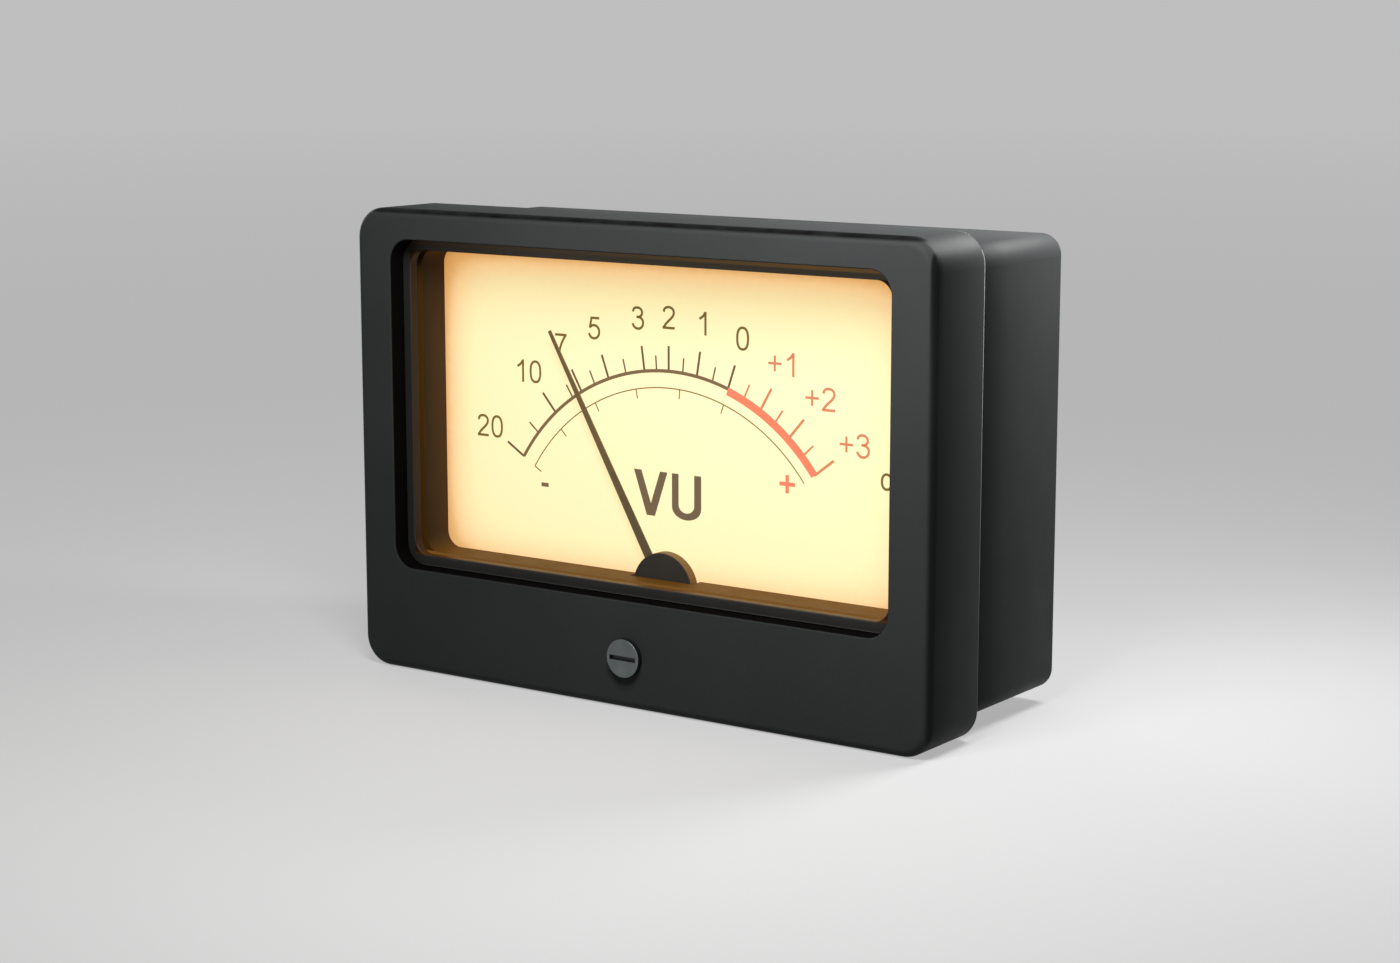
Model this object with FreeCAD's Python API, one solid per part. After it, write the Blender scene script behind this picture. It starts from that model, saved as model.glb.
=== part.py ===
import FreeCAD, Part
import math
import os

# Analog VU meter: a moving-coil instrument in a two-shell case with a backlit dial.
# Millimetres. While a piece is made, y is its depth behind the bezel's front face and z its
# height above the bezel's bottom edge; x runs to the right. save() then moves every piece so
# that the origin is the bottom centre of the whole meter, with the dial facing -Y.

Vector = FreeCAD.Vector
ACROSS_Y = Vector(0, 1, 0)
ALONG_X = Vector(1, 0, 0)
UPWARD = Vector(0, 0, 1)
half_turn = 180.0
edge_slack = 0.01
largest_corner_share = 0.45

# Window, borders and outline of the case
window_width = 95.4
window_height = 54.4
window_corner = 3.7
side_border = 7.3
top_border = 4.95
base_border = 17.35
case_corner = 4.9
front_round = 1.35
bezel_rear_round = 0.4
window_edge_round = 0.25

# Bezel shell
bezel_depth = 14.6
bezel_face = 4.5
bezel_wall = 2.0

# Housing shell
housing_gap = 0.2
housing_wall = 1.8
rear_wall = 2.0
housing_corner = 3.4
housing_rear_round = 0.8
rear_space = 1.3

# Window frame, seal and glass
frame_recess = 3.1
frame_gap = 0.08
frame_bar_side = 1.7
frame_bar_rim = 1.85
frame_edge_round = 0.12
flange_overlap = 2.5
fit_gap = 0.2
tunnel_corner = 2.75
glass_thickness = 1.1
glass_overlap = 1.2
glass_gap = 0.1
seal_thickness = 0.4
seal_setback = 0.2

# Tunnel and light stack
shroud_depth = 5.6
dial_thickness = 0.8
diffuser_thickness = 1.0
guide_thickness = 3.0
reflector_thickness = 0.4
stack_corner = 1.5
chassis_thickness = 1.6
chassis_corner = 1.5

# Case screws and the posts they run through
case_screw_radius = 1.0
case_screw_hole = 1.1
case_screw_head_radius = 1.9
case_screw_head = 1.7
case_screw_bite = 3.0
head_recess = 0.2
head_slot_share = 1 / 3
head_slot_depth_share = 0.5
post_height = 6.0
post_inset = 7.0
post_gap = 0.3

# Lamps
led_size = 1.6
led_height = 0.8
led_gap = 0.1
led_count = 3
led_board_thickness = 0.8
led_board_depth = 3.8
led_board_inner = 9.0
led_board_outer_inset = 4.2
led_lip = 1.0
led_lip_inset = 3.0

# Pivot, pointer and hub
pivot_drop = 1.5
pointer_rest = -29.6
pointer_low_limit = -60.0
pointer_high_limit = 55.0
coil_mid_angle = -2.5
hub_radius = 5.75
hub_thickness = 1.7
hub_gap = 0.2
hub_edge_round = 0.15
hub_slot_gap = 0.4
needle_length = 45.7
needle_root = 3.0
needle_root_width = 1.7
needle_tip_width = 0.58
needle_thickness = 0.2
needle_set_back = 0.15

# Staffs and their bearings
staff_radius = 0.5
staff_foot_radius = 0.7
running_gap = 0.03
jewel_radius = 1.2
jewel_thickness = 0.8
staff_passage = 0.9
boss_radius = 2.0
boss_shoulder_radius = 2.6
boss_wall_gap = 0.2
tip_radius = 0.25
tip_length = 0.8
tip_gap = 0.2
jewel_screw_radius = 1.5
jewel_screw_length = 2.9
jewel_slot_width = 0.5
jewel_slot_depth = 0.6
jewel_nut_flats = 4.6
jewel_nut_thickness = 1.2

# Hairsprings
collet_radius = 1.2
collet_overhang = 0.2
spring_turns = 6
spring_step = 0.42
spring_strip = 0.18
spring_width = 0.8
spring_gap = 0.5
anchor_size = 0.7

# Magnet system and coil
core_radius = 5.0
core_length = 9.0
core_end_gap = 0.6
coil_side_gap = 0.5
former_thickness = 0.4
former_width = 2.4
winding_thickness = 0.8
winding_width = 2.0
winding_air = 0.7
yoke_gap = 0.7
yoke_wall = 3.6
spacer_half_angle = 12.0
cross_air = 0.7

# Bridges
bridge_thickness = 1.8
bridge_half_height = 4.0
bridge_half_length = 15.0
leg_width = 2.8
leg_half_height = 3.0
rear_bridge_thickness = 1.4
bridge_screw_radius = 1.0
bridge_screw_head_radius = 1.8
bridge_screw_head = 1.2
bridge_screw_inset = 2.2
movement_screw_radius = 0.8
movement_screw_head_radius = 1.4
movement_screw_head = 1.0
movement_screw_bite = 2.4

# Balance cross and stops
cross_thickness = 0.4
cross_hub_radius = 1.4
cross_arm_width = 0.9
side_arm_reach = 5.8
tail_clearance = 0.6
weight_radius = 0.75
weight_length = 1.6
weight_inset = 0.2
tail_weight_width = 4.0
tail_weight_length = 3.2
stop_pin_radius = 0.35
stop_gap = 0.1
stop_set_depth = 1.2
stop_overreach = 0.25
stop_inset = 0.4

# Zero adjuster and lever
adjuster_height = 8.35
adjuster_head_radius = 3.1
adjuster_head = 1.0
adjuster_head_gap = 0.05
adjuster_head_round = 0.12
adjuster_shank_radius = 2.0
adjuster_gap = 0.05
adjuster_slot_length = 5.0
adjuster_slot_width = 0.75
adjuster_slot_depth = 0.6
adjuster_boss_radius = 4.0
adjuster_boss = 2.0
adjuster_tail = 1.0
groove_radius = 1.5
clip_thickness = 0.7
clip_radius = 3.0
clip_gap = 0.05
clip_mouth = 2.4
pin_offset = 1.0
pin_radius = 0.5
pin_overreach = 0.7
adjuster_swing = 45.0
lever_thickness = 0.75
lever_play = 0.05
lever_ring_radius = 3.4
lever_half_width = 1.5
lever_end = 1.4
fork_gap = 0.1
fork_top_gap = 0.25
lever_clip_thickness = 0.2
lever_clip_radius = 2.7
notch_gap = 2.0
dial_notch_radius = 1.6

# Rectifier board
board_half_width = 26.0
board_thickness = 1.6
board_post = 6.0
board_post_radius = 2.4
board_low_rise = 24.3
board_high_drop = 8.7
board_screw_inset = 4.0
board_screw_radius = 1.0
board_screw_head_radius = 1.8
board_screw_head = 1.2
board_screw_bite = 4.0
row_inset = 5.95
diode_radius = 1.1
diode_length = 4.6
diode_count = 4
diode_pitch = 6.5
resistor_radius = 1.3
resistor_length = 7.0
resistor_pitch = 14.0

# Signal terminals: the base is held in the rear wall, the thinner end is free
terminal_base_radius = 2.0
terminal_radius = 1.5
terminal_reach = 11.0
terminal_spacing = 28.0
terminal_height = 30.0
terminal_head_radius = 3.5
terminal_head = 1.5
terminal_washer_radius = 4.2
terminal_washer_thickness = 0.8
terminal_nut_flats = 7.0
terminal_nut_thickness = 3.2
base_overstand = 0.5
lug_thickness = 0.5
lug_ring_radius = 3.6
lug_length = 9.5
lug_width = 3.0
lug_eye = 0.8
lug_eye_inset = 2.0

# Lamp tags
tag_spacing = 16.0
tag_drop = 6.7
tag_width = 2.8
tag_thickness = 0.8
tag_inside = 2.8
tag_reach = 6.5
tag_eye = 0.6
tag_eye_inset = 1.6

# Mounting studs: like the terminals, with a thinner free end
stud_base_radius = 2.5
stud_radius = 2.0
stud_reach = 12.0
stud_spacing = 80.0
stud_head_radius = 4.0
stud_head = 2.0
stud_washer_radius = 5.0
stud_washer_thickness = 1.0
stud_nut_flats = 8.0
stud_nut_thickness = 2.7

# Hook-up wires
wire_radius = 0.5
wire_lift = 2.3
wire_chassis_hole = 1.0
coil_wire_spacing = 12.0
wire_board_inset = 2.0

# Depths, worked out from front to back
glass_front = bezel_face + seal_thickness
flange_back = glass_front + glass_thickness
dial_front = flange_back + shroud_depth
dial_back = dial_front + dial_thickness
diffuser_back = dial_back + diffuser_thickness
guide_back = diffuser_back + guide_thickness
chassis_front = guide_back + reflector_thickness
chassis_back = chassis_front + chassis_thickness
bridge_back = chassis_back + bridge_thickness
cross_front = bridge_back + cross_air
cross_back = cross_front + cross_thickness
winding_front = cross_back + winding_air
former_front = winding_front + winding_thickness
loop_front = former_front + former_thickness
core_front = loop_front + core_end_gap
core_back = core_front + core_length
loop_back = core_back + core_end_gap
former_back = loop_back + former_thickness
winding_back = former_back + winding_thickness
rear_spring_front = winding_back + spring_gap
rear_spring_back = rear_spring_front + spring_width
rear_bridge_front = rear_spring_back + spring_gap
rear_bridge_back = rear_bridge_front + rear_bridge_thickness
jewel_screw_front = rear_bridge_front + boss_wall_gap
jewel_screw_back = jewel_screw_front + jewel_screw_length
inner_back = jewel_screw_back + rear_space
case_depth = inner_back + rear_wall

# Outlines, worked out from the window outwards and inwards
case_width = window_width + 2 * side_border
case_height = base_border + window_height + top_border
window_half = window_width / 2
window_high = base_border + window_height
tunnel_half = window_half - frame_bar_side
tunnel_low = base_border + frame_bar_rim
tunnel_high = window_high - frame_bar_rim
housing_inset = bezel_wall + housing_gap
inner_inset = housing_inset + housing_wall
inner_half = case_width / 2 - inner_inset
inner_high = case_height - inner_inset
stack_half = tunnel_half + glass_overlap
stack_low = tunnel_low - glass_overlap
stack_high = tunnel_high + glass_overlap
post_inner = stack_half + post_gap
post_outer = inner_half - fit_gap
screw_x = (post_inner + post_outer) / 2
screw_heights = (base_border + post_inset, window_high - post_inset)

# Pivot and the parts round it
pivot_z = tunnel_low - pivot_drop
hub_back = dial_front - hub_gap
hub_front = hub_back - hub_thickness
former_inner = core_radius + coil_side_gap
former_outer = former_inner + former_thickness
coil_outer = former_outer + winding_thickness
yoke_inner = coil_outer + yoke_gap
yoke_outer = yoke_inner + yoke_wall
leg_x = (yoke_inner + yoke_outer) / 2
tail_reach = leg_x - leg_width / 2 - tail_clearance
front_spring_front = dial_back + spring_gap
front_spring_back = front_spring_front + spring_width
boss_front = front_spring_back + spring_gap
lever_front = boss_front + lever_clip_thickness + lever_play
lever_back = lever_front + lever_thickness
spring_start = collet_radius + spring_strip / 2
spring_reach = spring_start + spring_turns * spring_step + spring_strip / 2
anchor_radius = spring_reach + spring_gap + anchor_size / 2
notch_radius = lever_ring_radius + notch_gap

# Zero adjuster
adjuster_boss_back = bezel_face + adjuster_boss
groove_front = adjuster_boss_back + clip_gap
groove_back = groove_front + clip_thickness
adjuster_back = groove_back + adjuster_tail
pin_back = lever_back + pin_overreach
lever_span = pivot_z - adjuster_height
pin_z = adjuster_height - pin_offset
swing = math.radians(adjuster_swing)
pin_nearest = math.hypot(lever_span + pin_offset * math.cos(swing), pin_offset * math.sin(swing))
fork_top = pin_nearest - pin_radius - fork_top_gap
lever_reach = lever_span + pin_offset + lever_end

# Rear fittings
board_back = inner_back - board_post
board_front = board_back - board_thickness
board_low = pivot_z + board_low_rise
board_high = case_height - board_high_drop - housing_inset
wire_depth = board_back + wire_lift
tag_height = inner_high - tag_drop
lug_front = case_depth + terminal_washer_thickness
lug_back = lug_front + lug_thickness
terminal_shoulder = lug_back + terminal_nut_thickness + base_overstand
stud_nut_front = case_depth + stud_washer_thickness
stud_shoulder = stud_nut_front + stud_nut_thickness + base_overstand
meter_back = case_depth + max(stud_reach, terminal_reach, tag_reach)
meter_front = -adjuster_head_gap - adjuster_head
middle_depth = (meter_front + meter_back) / 2


def save(node, solids):
    """Write one node: one solid, or a group of separate ones."""
    shape = Part.makeCompound(solids) if isinstance(solids, list) else solids
    shape.translate(Vector(0, -middle_depth, 0))
    shape.exportStep("parts/%s.step" % node)


def block(x_low, x_high, front, back, z_low, z_high):
    return Part.makeBox(x_high - x_low, back - front, z_high - z_low, Vector(x_low, front, z_low))


def rod(radius, x, z, front, back):
    return Part.makeCylinder(radius, back - front, Vector(x, front, z), ACROSS_Y)


def tube(outer, inner, x, z, front, back):
    return rod(outer, x, z, front, back).cut(rod(inner, x, z, front, back))


def plate(half, z_low, z_high, front, back, corner):
    """A slab that faces the front, with its four corners rounded."""
    slab = block(-half, half, front, back, z_low, z_high)
    largest = largest_corner_share * min(2 * half, z_high - z_low)
    across = [e for e in slab.Edges if abs(e.tangentAt(e.FirstParameter).dot(ACROSS_Y)) > edge_slack]
    return slab.makeFillet(min(corner, largest), across)


def edges_at(shape, depth, half, z_low, z_high):
    """The edges that lie at one depth inside a front outline."""
    found = []
    for edge in shape.Edges:
        box = edge.BoundBox
        flat = abs(box.YMin - depth) < edge_slack and abs(box.YMax - depth) < edge_slack
        inside = box.XMin > -half - edge_slack and box.XMax < half + edge_slack
        if flat and inside and box.ZMin > z_low - edge_slack and box.ZMax < z_high + edge_slack:
            found.append(edge)
    return found


def hexagon(flats, x, z, front, back):
    sides = 6
    corner = flats / 2 / math.cos(math.pi / sides)
    points = []
    for step in range(sides + 1):
        angle = 2 * math.pi * step / sides
        points.append(Vector(x + corner * math.cos(angle), front, z + corner * math.sin(angle)))
    return Part.Face(Part.makePolygon(points)).extrude(Vector(0, back - front, 0))


def nut(flats, bore, x, z, front, thickness):
    back = front + thickness
    return hexagon(flats, x, z, front, back).cut(rod(bore, x, z, front, back))


def turned(shape, angle):
    """The shape turned about the pivot axis, clockwise as seen from the front."""
    return shape.rotated(Vector(0, 0, pivot_z), ACROSS_Y, angle)


def around_pivot(radius, angle):
    """x and z of a point near the pivot; the angle is from straight up, to the right."""
    turn = math.radians(angle)
    return radius * math.sin(turn), pivot_z + radius * math.cos(turn)


def screw(x, z, tip, seat, radius, head_radius, head):
    """A screw whose shank runs from tip to seat and whose slotted head faces the rear."""
    slot_half = head_slot_share * head_radius / 2
    slot_front = seat + head - head_slot_depth_share * head
    body = rod(radius, x, z, tip, seat).fuse(rod(head_radius, x, z, seat, seat + head))
    slot = block(x - head_radius, x + head_radius, slot_front, seat + head, z - slot_half, z + slot_half)
    return body.cut(slot).removeSplitter()


def wire_run(points):
    """A round wire along straight runs, with ball-shaped bends."""
    runs = []
    for start, end in zip(points, points[1:]):
        way = end.sub(start)
        runs.append(Part.makeCylinder(wire_radius, way.Length, start, way))
    bends = [Part.makeSphere(wire_radius, point) for point in points[1:-1]]
    return runs[0].multiFuse(runs[1:] + bends).removeSplitter()


def screw_places():
    return [(side * screw_x, z) for side in (-1, 1) for z in screw_heights]


def bezel():
    shell = plate(case_width / 2, 0, case_height, 0, bezel_depth, case_corner)
    shell = shell.makeFillet(front_round, edges_at(shell, 0, case_width, 0, case_height))
    shell = shell.makeFillet(bezel_rear_round, edges_at(shell, bezel_depth, case_width, 0, case_height))
    cavity_corner = case_corner - bezel_wall
    shell = shell.cut(plate(case_width / 2 - bezel_wall, bezel_wall, case_height - bezel_wall,
                            bezel_face, bezel_depth, cavity_corner))
    shell = shell.cut(plate(window_half, base_border, window_high, 0, bezel_face, window_corner))
    rim = edges_at(shell, 0, window_half, base_border, window_high)
    shell = shell.makeFillet(window_edge_round, rim)
    shell = shell.fuse(rod(adjuster_boss_radius, 0, adjuster_height, bezel_face, adjuster_boss_back))
    bore = rod(adjuster_shank_radius + adjuster_gap, 0, adjuster_height, 0, adjuster_boss_back)
    shell = shell.cut(bore)
    for x, z in screw_places():
        shell = shell.cut(rod(case_screw_radius, x, z, bezel_face - case_screw_bite, bezel_face))
    return shell.removeSplitter()


def window_frame():
    ring = plate(window_half - frame_gap, base_border + frame_gap, window_high - frame_gap,
                 frame_recess, flange_back, window_corner - frame_gap)
    rim = edges_at(ring, frame_recess, window_half, base_border, window_high)
    ring = ring.makeFillet(frame_edge_round, rim)
    ring = ring.fuse(plate(post_outer, base_border - flange_overlap, inner_high - fit_gap,
                           bezel_face, flange_back, chassis_corner))
    ring = ring.cut(plate(tunnel_half, tunnel_low, tunnel_high, frame_recess, flange_back, tunnel_corner))
    lip = edges_at(ring, frame_recess, tunnel_half, tunnel_low, tunnel_high)
    ring = ring.makeFillet(window_edge_round, lip)
    ring = ring.cut(plate(stack_half + glass_gap, stack_low - glass_gap, stack_high + glass_gap,
                          bezel_face, flange_back, stack_corner))
    for x, z in screw_places():
        ring = ring.cut(rod(case_screw_hole, x, z, bezel_face, flange_back))
    return ring.removeSplitter()


def window_seal():
    ring = plate(stack_half, stack_low, stack_high, bezel_face, glass_front, stack_corner)
    return ring.cut(plate(tunnel_half + seal_setback, tunnel_low - seal_setback,
                          tunnel_high + seal_setback, bezel_face, glass_front, tunnel_corner))


def window_glass():
    return plate(stack_half, stack_low, stack_high, glass_front, flange_back, stack_corner)


def light_shroud():
    walls = plate(stack_half, stack_low, stack_high, flange_back, dial_front, stack_corner)
    for x, z in screw_places():
        side = math.copysign(1, x)
        low, high = z - post_height / 2, z + post_height / 2
        near, far = sorted((side * tunnel_half, side * post_outer))
        walls = walls.fuse(block(near, far, flange_back, dial_front, low, high))
        near, far = sorted((side * post_inner, side * post_outer))
        walls = walls.fuse(block(near, far, flange_back, chassis_front, low, high))
    walls = walls.cut(plate(tunnel_half, tunnel_low, tunnel_high, flange_back, dial_front, tunnel_corner))
    slot_half = hub_radius + hub_slot_gap
    walls = walls.cut(block(-slot_half, slot_half, hub_front - hub_slot_gap, dial_front,
                            stack_low, tunnel_low + pivot_drop))
    for x, z in screw_places():
        walls = walls.cut(rod(case_screw_hole, x, z, flange_back, chassis_front))
    return walls.removeSplitter()


def stack_sheet(front, back, notch):
    """One sheet of the light stack, with a notch for what turns about the pivot."""
    sheet = plate(stack_half, stack_low, stack_high, front, back, stack_corner)
    sheet = sheet.cut(rod(notch, 0, pivot_z, front, back))
    return sheet.cut(block(-notch, notch, front, back, pivot_z - notch, pivot_z))


def led_board_span():
    return led_board_inner, stack_half - led_board_outer_inset


def led_boards():
    inner, outer = led_board_span()
    top = stack_low - led_gap - led_height
    boards = []
    for side in (-1, 1):
        near, far = sorted((side * inner, side * outer))
        boards.append(block(near, far, chassis_front - led_board_depth, chassis_front,
                            top - led_board_thickness, top))
    return boards


def lamp_leds():
    inner, outer = led_board_span()
    top = stack_low - led_gap
    middle = diffuser_back + guide_thickness / 2
    leds = []
    for side in (-1, 1):
        for offset in row_places(led_count, (outer - inner) / led_count):
            x = side * ((inner + outer) / 2 + offset)
            leds.append(block(x - led_size / 2, x + led_size / 2, middle - led_size / 2,
                              middle + led_size / 2, top - led_height, top))
    return leds


def lead_hole_x():
    return led_board_span()[1] - led_lip_inset / 2


def lead_hole_z():
    return (inner_inset + stack_low) / 2


def chassis():
    sheet = plate(post_outer, inner_inset + fit_gap, inner_high - fit_gap,
                  chassis_front, chassis_back, chassis_corner)
    inner, outer = led_board_span()
    lip_top = stack_low - led_gap - led_height - led_board_thickness
    for side in (-1, 1):
        near, far = sorted((side * inner, side * (outer - led_lip_inset)))
        sheet = sheet.fuse(block(near, far, chassis_front - led_board_depth, chassis_back,
                                 lip_top - led_lip, lip_top))
        sheet = sheet.cut(rod(wire_chassis_hole, side * lead_hole_x(), lead_hole_z(),
                              chassis_front, chassis_back))
        sheet = sheet.cut(rod(bridge_screw_radius, side * bridge_screw_x(), pivot_z,
                              chassis_front, chassis_back))
    sheet = sheet.cut(rod(boss_shoulder_radius, 0, pivot_z, chassis_front, chassis_back))
    for x, z in screw_places():
        sheet = sheet.cut(rod(case_screw_hole, x, z, chassis_front, chassis_back))
    return sheet.removeSplitter()


def housing():
    half = case_width / 2 - housing_inset
    shell = plate(half, housing_inset, case_height - housing_inset, bezel_face, case_depth,
                  housing_corner)
    rear = edges_at(shell, case_depth, case_width, 0, case_height)
    shell = shell.makeFillet(housing_rear_round, rear)
    shell = shell.cut(plate(inner_half, inner_inset, inner_high, bezel_face, inner_back,
                            housing_corner - housing_wall))
    for x, z in screw_places():
        side = math.copysign(1, x)
        near, far = sorted((side * post_inner, side * (inner_half + housing_wall / 2)))
        shell = shell.fuse(block(near, far, chassis_back, inner_back,
                                 z - post_height / 2, z + post_height / 2))
    for x, z in board_screw_places():
        shell = shell.fuse(rod(board_post_radius, x, z, board_back, inner_back))
    for x, z in screw_places():
        shell = shell.cut(rod(case_screw_hole, x, z, chassis_back, case_depth))
        shell = shell.cut(rod(case_screw_head_radius, x, z, case_screw_seat(), case_depth))
    for x, z in board_screw_places():
        shell = shell.cut(rod(board_screw_radius, x, z, board_back, board_back + board_screw_bite))
    for x, z in terminal_places():
        shell = shell.cut(rod(terminal_base_radius, x, z, inner_back, case_depth))
    for x, z in stud_places():
        shell = shell.cut(rod(stud_base_radius, x, z, inner_back, case_depth))
    for x in tag_places():
        shell = shell.cut(tag_blade(x, inner_back, case_depth))
    return shell.removeSplitter()


def case_screw_seat():
    return case_depth - head_recess - case_screw_head


def case_screws():
    return [screw(x, z, bezel_face - case_screw_bite, case_screw_seat(), case_screw_radius,
                  case_screw_head_radius, case_screw_head) for x, z in screw_places()]


def bridge_screw_x():
    return bridge_half_length - bridge_screw_inset


def front_bridge():
    bar = block(-bridge_half_length, bridge_half_length, chassis_back, bridge_back,
                pivot_z - bridge_half_height, pivot_z + bridge_half_height)
    bar = bar.fuse(rod(boss_shoulder_radius, 0, pivot_z, lever_back + lever_play, chassis_back))
    bar = bar.fuse(rod(boss_radius, 0, pivot_z, boss_front, chassis_back))
    for side in (-1, 1):
        x = side * leg_x
        bar = bar.fuse(block(x - leg_width / 2, x + leg_width / 2, bridge_back, core_front,
                             pivot_z - leg_half_height, pivot_z + leg_half_height))
        bar = bar.cut(rod(movement_screw_radius, x, pivot_z, core_front - movement_screw_bite,
                          core_front))
        bar = bar.cut(rod(bridge_screw_radius, side * bridge_screw_x(), pivot_z,
                          chassis_back, bridge_back))
    bar = bar.cut(rod(jewel_radius, 0, pivot_z, boss_front, boss_front + jewel_thickness))
    bar = bar.cut(rod(staff_passage, 0, pivot_z, boss_front, bridge_back))
    for x, z in stop_places():
        bar = bar.cut(rod(stop_pin_radius, x, z, bridge_back - stop_set_depth, bridge_back))
    return bar.removeSplitter()


def front_jewel():
    return tube(jewel_radius, staff_radius + running_gap, 0, pivot_z,
                boss_front, boss_front + jewel_thickness)


def bridge_screws():
    return [screw(side * bridge_screw_x(), pivot_z, chassis_front, bridge_back, bridge_screw_radius,
                  bridge_screw_head_radius, bridge_screw_head) for side in (-1, 1)]


def yoke_ring():
    ring = tube(yoke_outer, yoke_inner, 0, pivot_z, core_front, core_back)
    for side in (-1, 1):
        ring = ring.cut(rod(movement_screw_radius, side * leg_x, pivot_z, core_front, core_back))
    return ring


def core_magnet():
    return rod(core_radius, 0, pivot_z, core_front, core_back)


def core_spacers():
    """Brass wedges above and below the core, outside the arc that the coil sweeps."""
    wall = tube(yoke_inner, core_radius, 0, pivot_z, core_front, core_back)
    half = yoke_outer * math.tan(math.radians(spacer_half_angle))
    apex = Vector(0, core_front, pivot_z)
    spacers = []
    for side in (-1, 1):
        z = pivot_z + side * yoke_outer
        triangle = [apex, Vector(-half, core_front, z), Vector(half, core_front, z), apex]
        wedge = Part.Face(Part.makePolygon(triangle)).extrude(Vector(0, core_length, 0))
        spacers.append(wall.common(wedge))
    return spacers


def rear_bridge():
    half = leg_x + leg_width / 2
    bar = block(-half, half, rear_bridge_front, rear_bridge_back,
                pivot_z - leg_half_height, pivot_z + leg_half_height)
    for side in (-1, 1):
        x = side * leg_x
        bar = bar.fuse(block(x - leg_width / 2, x + leg_width / 2, core_back, rear_bridge_front,
                             pivot_z - leg_half_height, pivot_z + leg_half_height))
        bar = bar.cut(rod(movement_screw_radius, x, pivot_z, core_back, rear_bridge_back))
    half_anchor = anchor_size / 2
    bar = bar.fuse(block(-anchor_radius - half_anchor, -anchor_radius + half_anchor,
                         rear_spring_front, rear_bridge_front,
                         pivot_z - half_anchor, pivot_z + half_anchor))
    bar = bar.cut(rod(jewel_screw_radius, 0, pivot_z, rear_bridge_front, rear_bridge_back))
    return bar.removeSplitter()


def movement_screws():
    return [screw(side * leg_x, pivot_z, core_front - movement_screw_bite, rear_bridge_back,
                  movement_screw_radius, movement_screw_head_radius, movement_screw_head)
            for side in (-1, 1)]


def jewel_screw():
    body = rod(jewel_screw_radius, 0, pivot_z, jewel_screw_front, jewel_screw_back)
    cup = rod(tip_radius + running_gap, 0, pivot_z, jewel_screw_front, rear_tip_end() + tip_gap)
    slot = block(-jewel_screw_radius, jewel_screw_radius, jewel_screw_back - jewel_slot_depth,
                 jewel_screw_back, pivot_z - jewel_slot_width / 2, pivot_z + jewel_slot_width / 2)
    return body.cut(cup).cut(slot)


def jewel_nut():
    return nut(jewel_nut_flats, jewel_screw_radius, 0, pivot_z, rear_bridge_back, jewel_nut_thickness)


def stop_radius():
    return tail_reach - stop_inset


def stop_places():
    """The tail points away from the needle, so it meets a stop at each end of the scale."""
    reach = cross_arm_width / 2 + stop_pin_radius + stop_gap
    lead = math.degrees(math.asin(reach / stop_radius()))
    low = half_turn + pointer_low_limit - lead
    high = half_turn + pointer_high_limit + lead
    return [around_pivot(stop_radius(), low), around_pivot(stop_radius(), high)]


def stop_pins():
    return [rod(stop_pin_radius, x, z, bridge_back - stop_set_depth, cross_back + stop_overreach)
            for x, z in stop_places()]


def pointer_needle():
    """The needle straight up; its root sits in a slot of the hub."""
    points = []
    for radius, width in ((needle_root, needle_root_width), (needle_length, needle_tip_width)):
        points.append((width / 2, pivot_z + radius))
    (root, z_root), (tip, z_tip) = points
    front = hub_front + needle_set_back
    outline = [Vector(-root, front, z_root), Vector(-tip, front, z_tip),
               Vector(tip, front, z_tip), Vector(root, front, z_root),
               Vector(-root, front, z_root)]
    return Part.Face(Part.makePolygon(outline)).extrude(Vector(0, needle_thickness, 0))


def pointer_hub():
    disc = rod(hub_radius, 0, pivot_z, hub_front, hub_back)
    rim = edges_at(disc, hub_front, hub_radius, pivot_z - hub_radius, pivot_z + hub_radius)
    disc = disc.makeFillet(hub_edge_round, rim)
    disc = disc.cut(pointer_needle())
    return disc.cut(rod(staff_radius, 0, pivot_z, hub_middle(), hub_back))


def hub_middle():
    return (hub_front + hub_back) / 2


def front_staff():
    staff = rod(staff_radius, 0, pivot_z, hub_middle(), former_front)
    staff = staff.fuse(rod(collet_radius, 0, pivot_z, front_spring_front - collet_overhang,
                           front_spring_back + collet_overhang))
    staff = staff.fuse(rod(staff_foot_radius, 0, pivot_z, winding_front, former_front))
    return staff.removeSplitter()


def rear_tip_end():
    return jewel_screw_front + tip_length - tip_gap


def rear_staff():
    staff = rod(staff_foot_radius, 0, pivot_z, former_back, winding_back)
    staff = staff.fuse(rod(staff_radius, 0, pivot_z, winding_back, jewel_screw_front - tip_gap))
    staff = staff.fuse(rod(collet_radius, 0, pivot_z, rear_spring_front - collet_overhang,
                           rear_spring_back + collet_overhang))
    staff = staff.fuse(rod(tip_radius, 0, pivot_z, jewel_screw_front - tip_gap, rear_tip_end()))
    return staff.removeSplitter()


def coil_loop(inner, outer, front, back, loop_front_edge, loop_back_edge, width):
    """A rectangular loop that lies flat when the needle points straight up."""
    whole = block(-outer, outer, front, back, pivot_z - width / 2, pivot_z + width / 2)
    return whole.cut(block(-inner, inner, loop_front_edge, loop_back_edge,
                           pivot_z - width / 2, pivot_z + width / 2))


def coil_former():
    return coil_loop(former_inner, former_outer, former_front, former_back,
                     loop_front, loop_back, former_width)


def coil_winding():
    coil = coil_loop(former_outer, coil_outer, winding_front, winding_back,
                     former_front, former_back, winding_width)
    return coil.cut(rod(staff_foot_radius, 0, pivot_z, winding_front, winding_back))


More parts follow.
